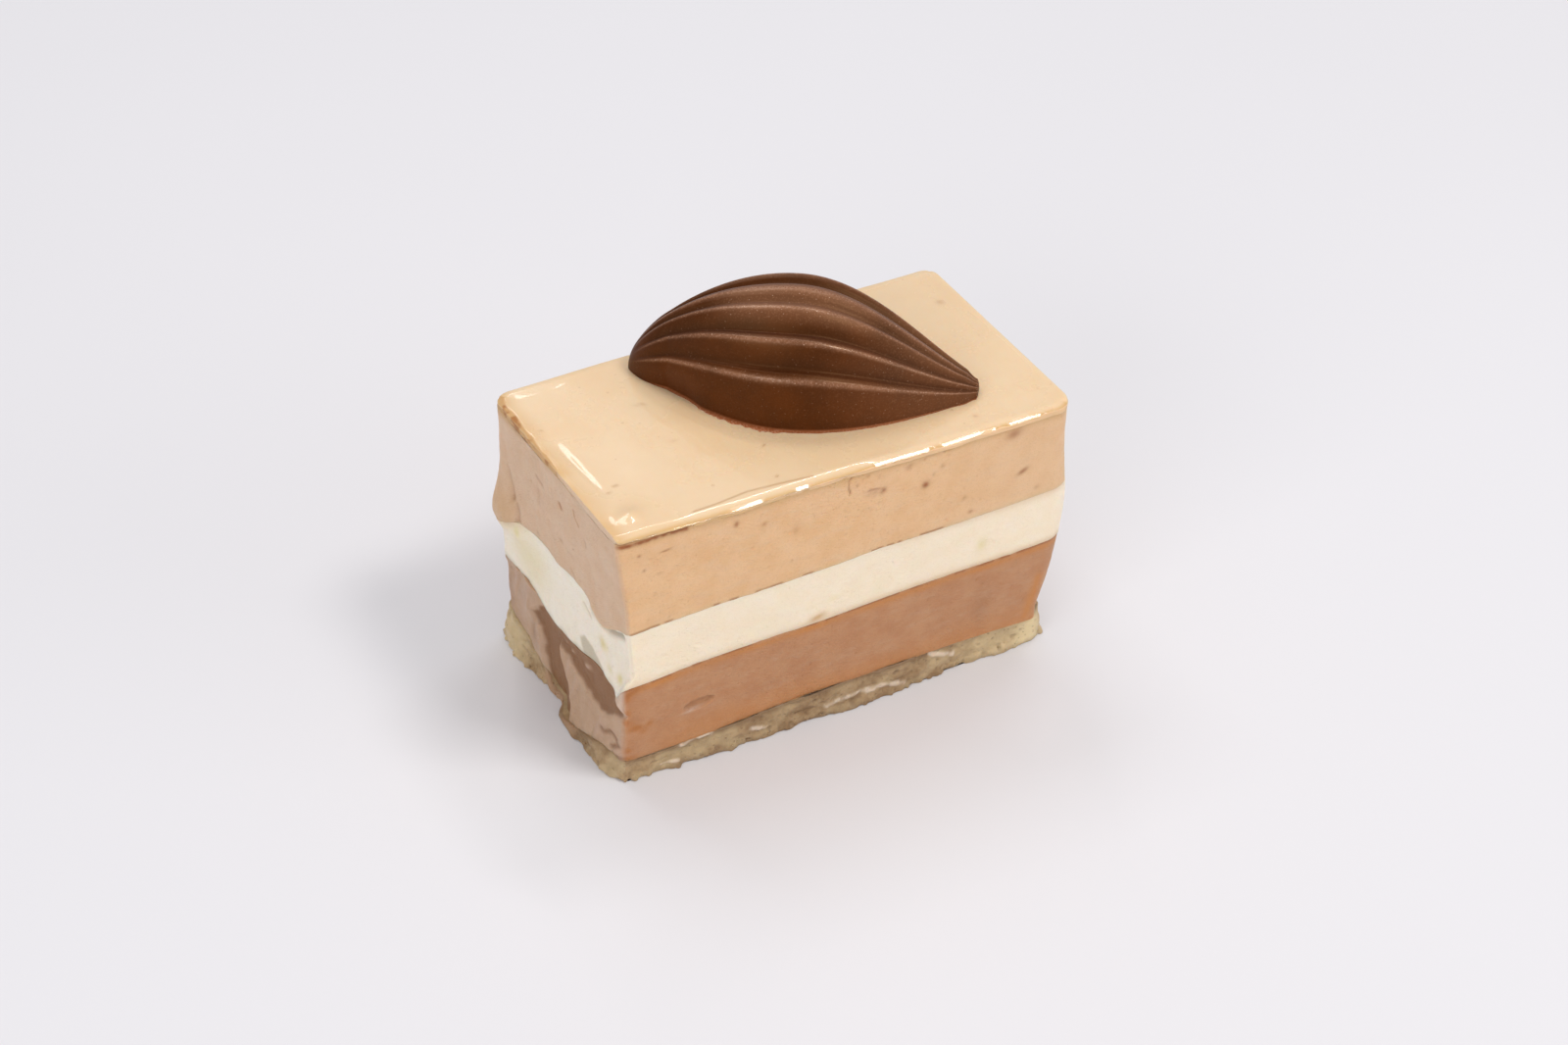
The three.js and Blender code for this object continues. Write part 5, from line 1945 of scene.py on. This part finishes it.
# Each light's place and size in metres and its tint; all of them face the middle of the cake
LIGHT_AIM = (0.0, 0.0, 0.03)
WARM = (1.0, 0.98, 0.95)
PLAIN = (1.0, 1.0, 1.0)
LIGHTS = {
    "key": ((0.33, -0.38, 0.86), (0.26, 0.2), WARM),
    "overhead": ((-0.05, 0.5, 0.8), (0.42, 0.27), PLAIN),
    "fill": ((-0.8, -0.5, 0.45), (0.7, 0.5), PLAIN),
    "front": ((0.72, -0.72, 0.42), (0.7, 0.4), PLAIN),
    "strip": ((0.36, 0.26, 0.87), (0.3, 0.05), PLAIN),
    "back": ((0.2, 0.68, 0.71), (0.09, 0.16), PLAIN),
}
FLOOR_REACH = 3.0
FLOOR_SHADE = 0.97


def facing(place, aim):
    return (Vector(aim) - Vector(place)).to_track_quat("-Z", "Y")


def make_floor(scene, look):
    mesh = bpy.data.meshes.new("floor")
    corners = [(-1, -1), (1, -1), (1, 1), (-1, 1)]
    mesh.from_pydata([(x * FLOOR_REACH, y * FLOOR_REACH, 0.0) for x, y in corners], [], [(0, 1, 2, 3)])
    material, tree, shader = new_material("Pale floor")
    darker = tuple(part * FLOOR_SHADE for part in look.floor)
    tone = blend(tree, cloud(tree, object_place(tree), scale=6.0, detail=2.0), look.floor, darker)
    fill(tree, shader, {"Base Color": tone, "Roughness": 0.6})
    mesh.materials.append(material)
    floor = bpy.data.objects.new("floor", mesh)
    scene.collection.objects.link(floor)


def make_world(scene, look):
    world = bpy.data.worlds.new("Studio")
    world.use_nodes = True
    background = world.node_tree.nodes["Background"]
    background.inputs["Color"].default_value = (*look.sky, 1.0)
    background.inputs["Strength"].default_value = look.sky_strength
    scene.world = world


def make_light(scene, name, power):
    place, size, tint = LIGHTS[name]
    data = bpy.data.lights.new(name, "AREA")
    data.shape = "RECTANGLE"
    data.size, data.size_y = size
    data.energy = power
    data.color = tint
    lamp = bpy.data.objects.new(name, data)
    lamp.location = place
    lamp.rotation_euler = facing(place, LIGHT_AIM).to_euler()
    scene.collection.objects.link(lamp)


def make_camera(scene):
    data = bpy.data.cameras.new("camera")
    data.lens = CAMERA_LENS
    data.sensor_width = CAMERA_SENSOR
    data.sensor_fit = "HORIZONTAL"
    data.clip_start = 0.01
    camera = bpy.data.objects.new("camera", data)
    place = Vector(CAMERA_PLACE) * MM
    heading = facing(place, Vector(CAMERA_AIM) * MM).to_matrix().to_4x4()
    camera.matrix_world = Matrix.Translation(place) @ heading @ Matrix.Rotation(CAMERA_ROLL, 4, "Z")
    scene.collection.objects.link(camera)
    scene.camera = camera


class CAKE_OT_stage(bpy.types.Operator):
    """Set up the pale floor, the soft light and the camera"""

    bl_idname = "cake.stage"
    bl_label = "Stage"

    def execute(self, context):
        scene = context.scene
        look = scene.mousse_cake.stage
        make_floor(scene, look)
        make_world(scene, look)
        for name in LIGHTS:
            make_light(scene, name, getattr(look, name + "_power"))
        make_camera(scene)
        scene.view_settings.view_transform = "Standard"
        return {"FINISHED"}


class CAKE_PT_panel(bpy.types.Panel):
    """Lists the steps that make the cake."""

    bl_idname = "CAKE_PT_panel"
    bl_label = "Mousse cake"
    bl_space_type = "VIEW_3D"
    bl_region_type = "UI"
    bl_category = "Mousse cake"

    def draw(self, context):
        for step in STEPS:
            self.layout.operator(step.bl_idname)


STEPS = (CAKE_OT_stage, CAKE_OT_sponge, CAKE_OT_mousse, CAKE_OT_glaze, CAKE_OT_pod)
MOUSSE_GROUPS = (TanColours, WhiteColours, BrownColours)
GROUPS = (CakeSizes, PodSizes, *MOUSSE_GROUPS, CakeColours, StageLook, CakeSettings)
CLASSES = (*GROUPS, *STEPS, CAKE_PT_panel)


def register():
    for kind in CLASSES:
        bpy.utils.register_class(kind)
    bpy.types.Scene.mousse_cake = PointerProperty(type=CakeSettings)


def unregister():
    del bpy.types.Scene.mousse_cake
    for kind in reversed(CLASSES):
        bpy.utils.unregister_class(kind)


def main():
    register()
    for step in STEPS:
        group, name = step.bl_idname.split(".")
        getattr(getattr(bpy.ops, group), name)()


if __name__ == "__main__":
    main()
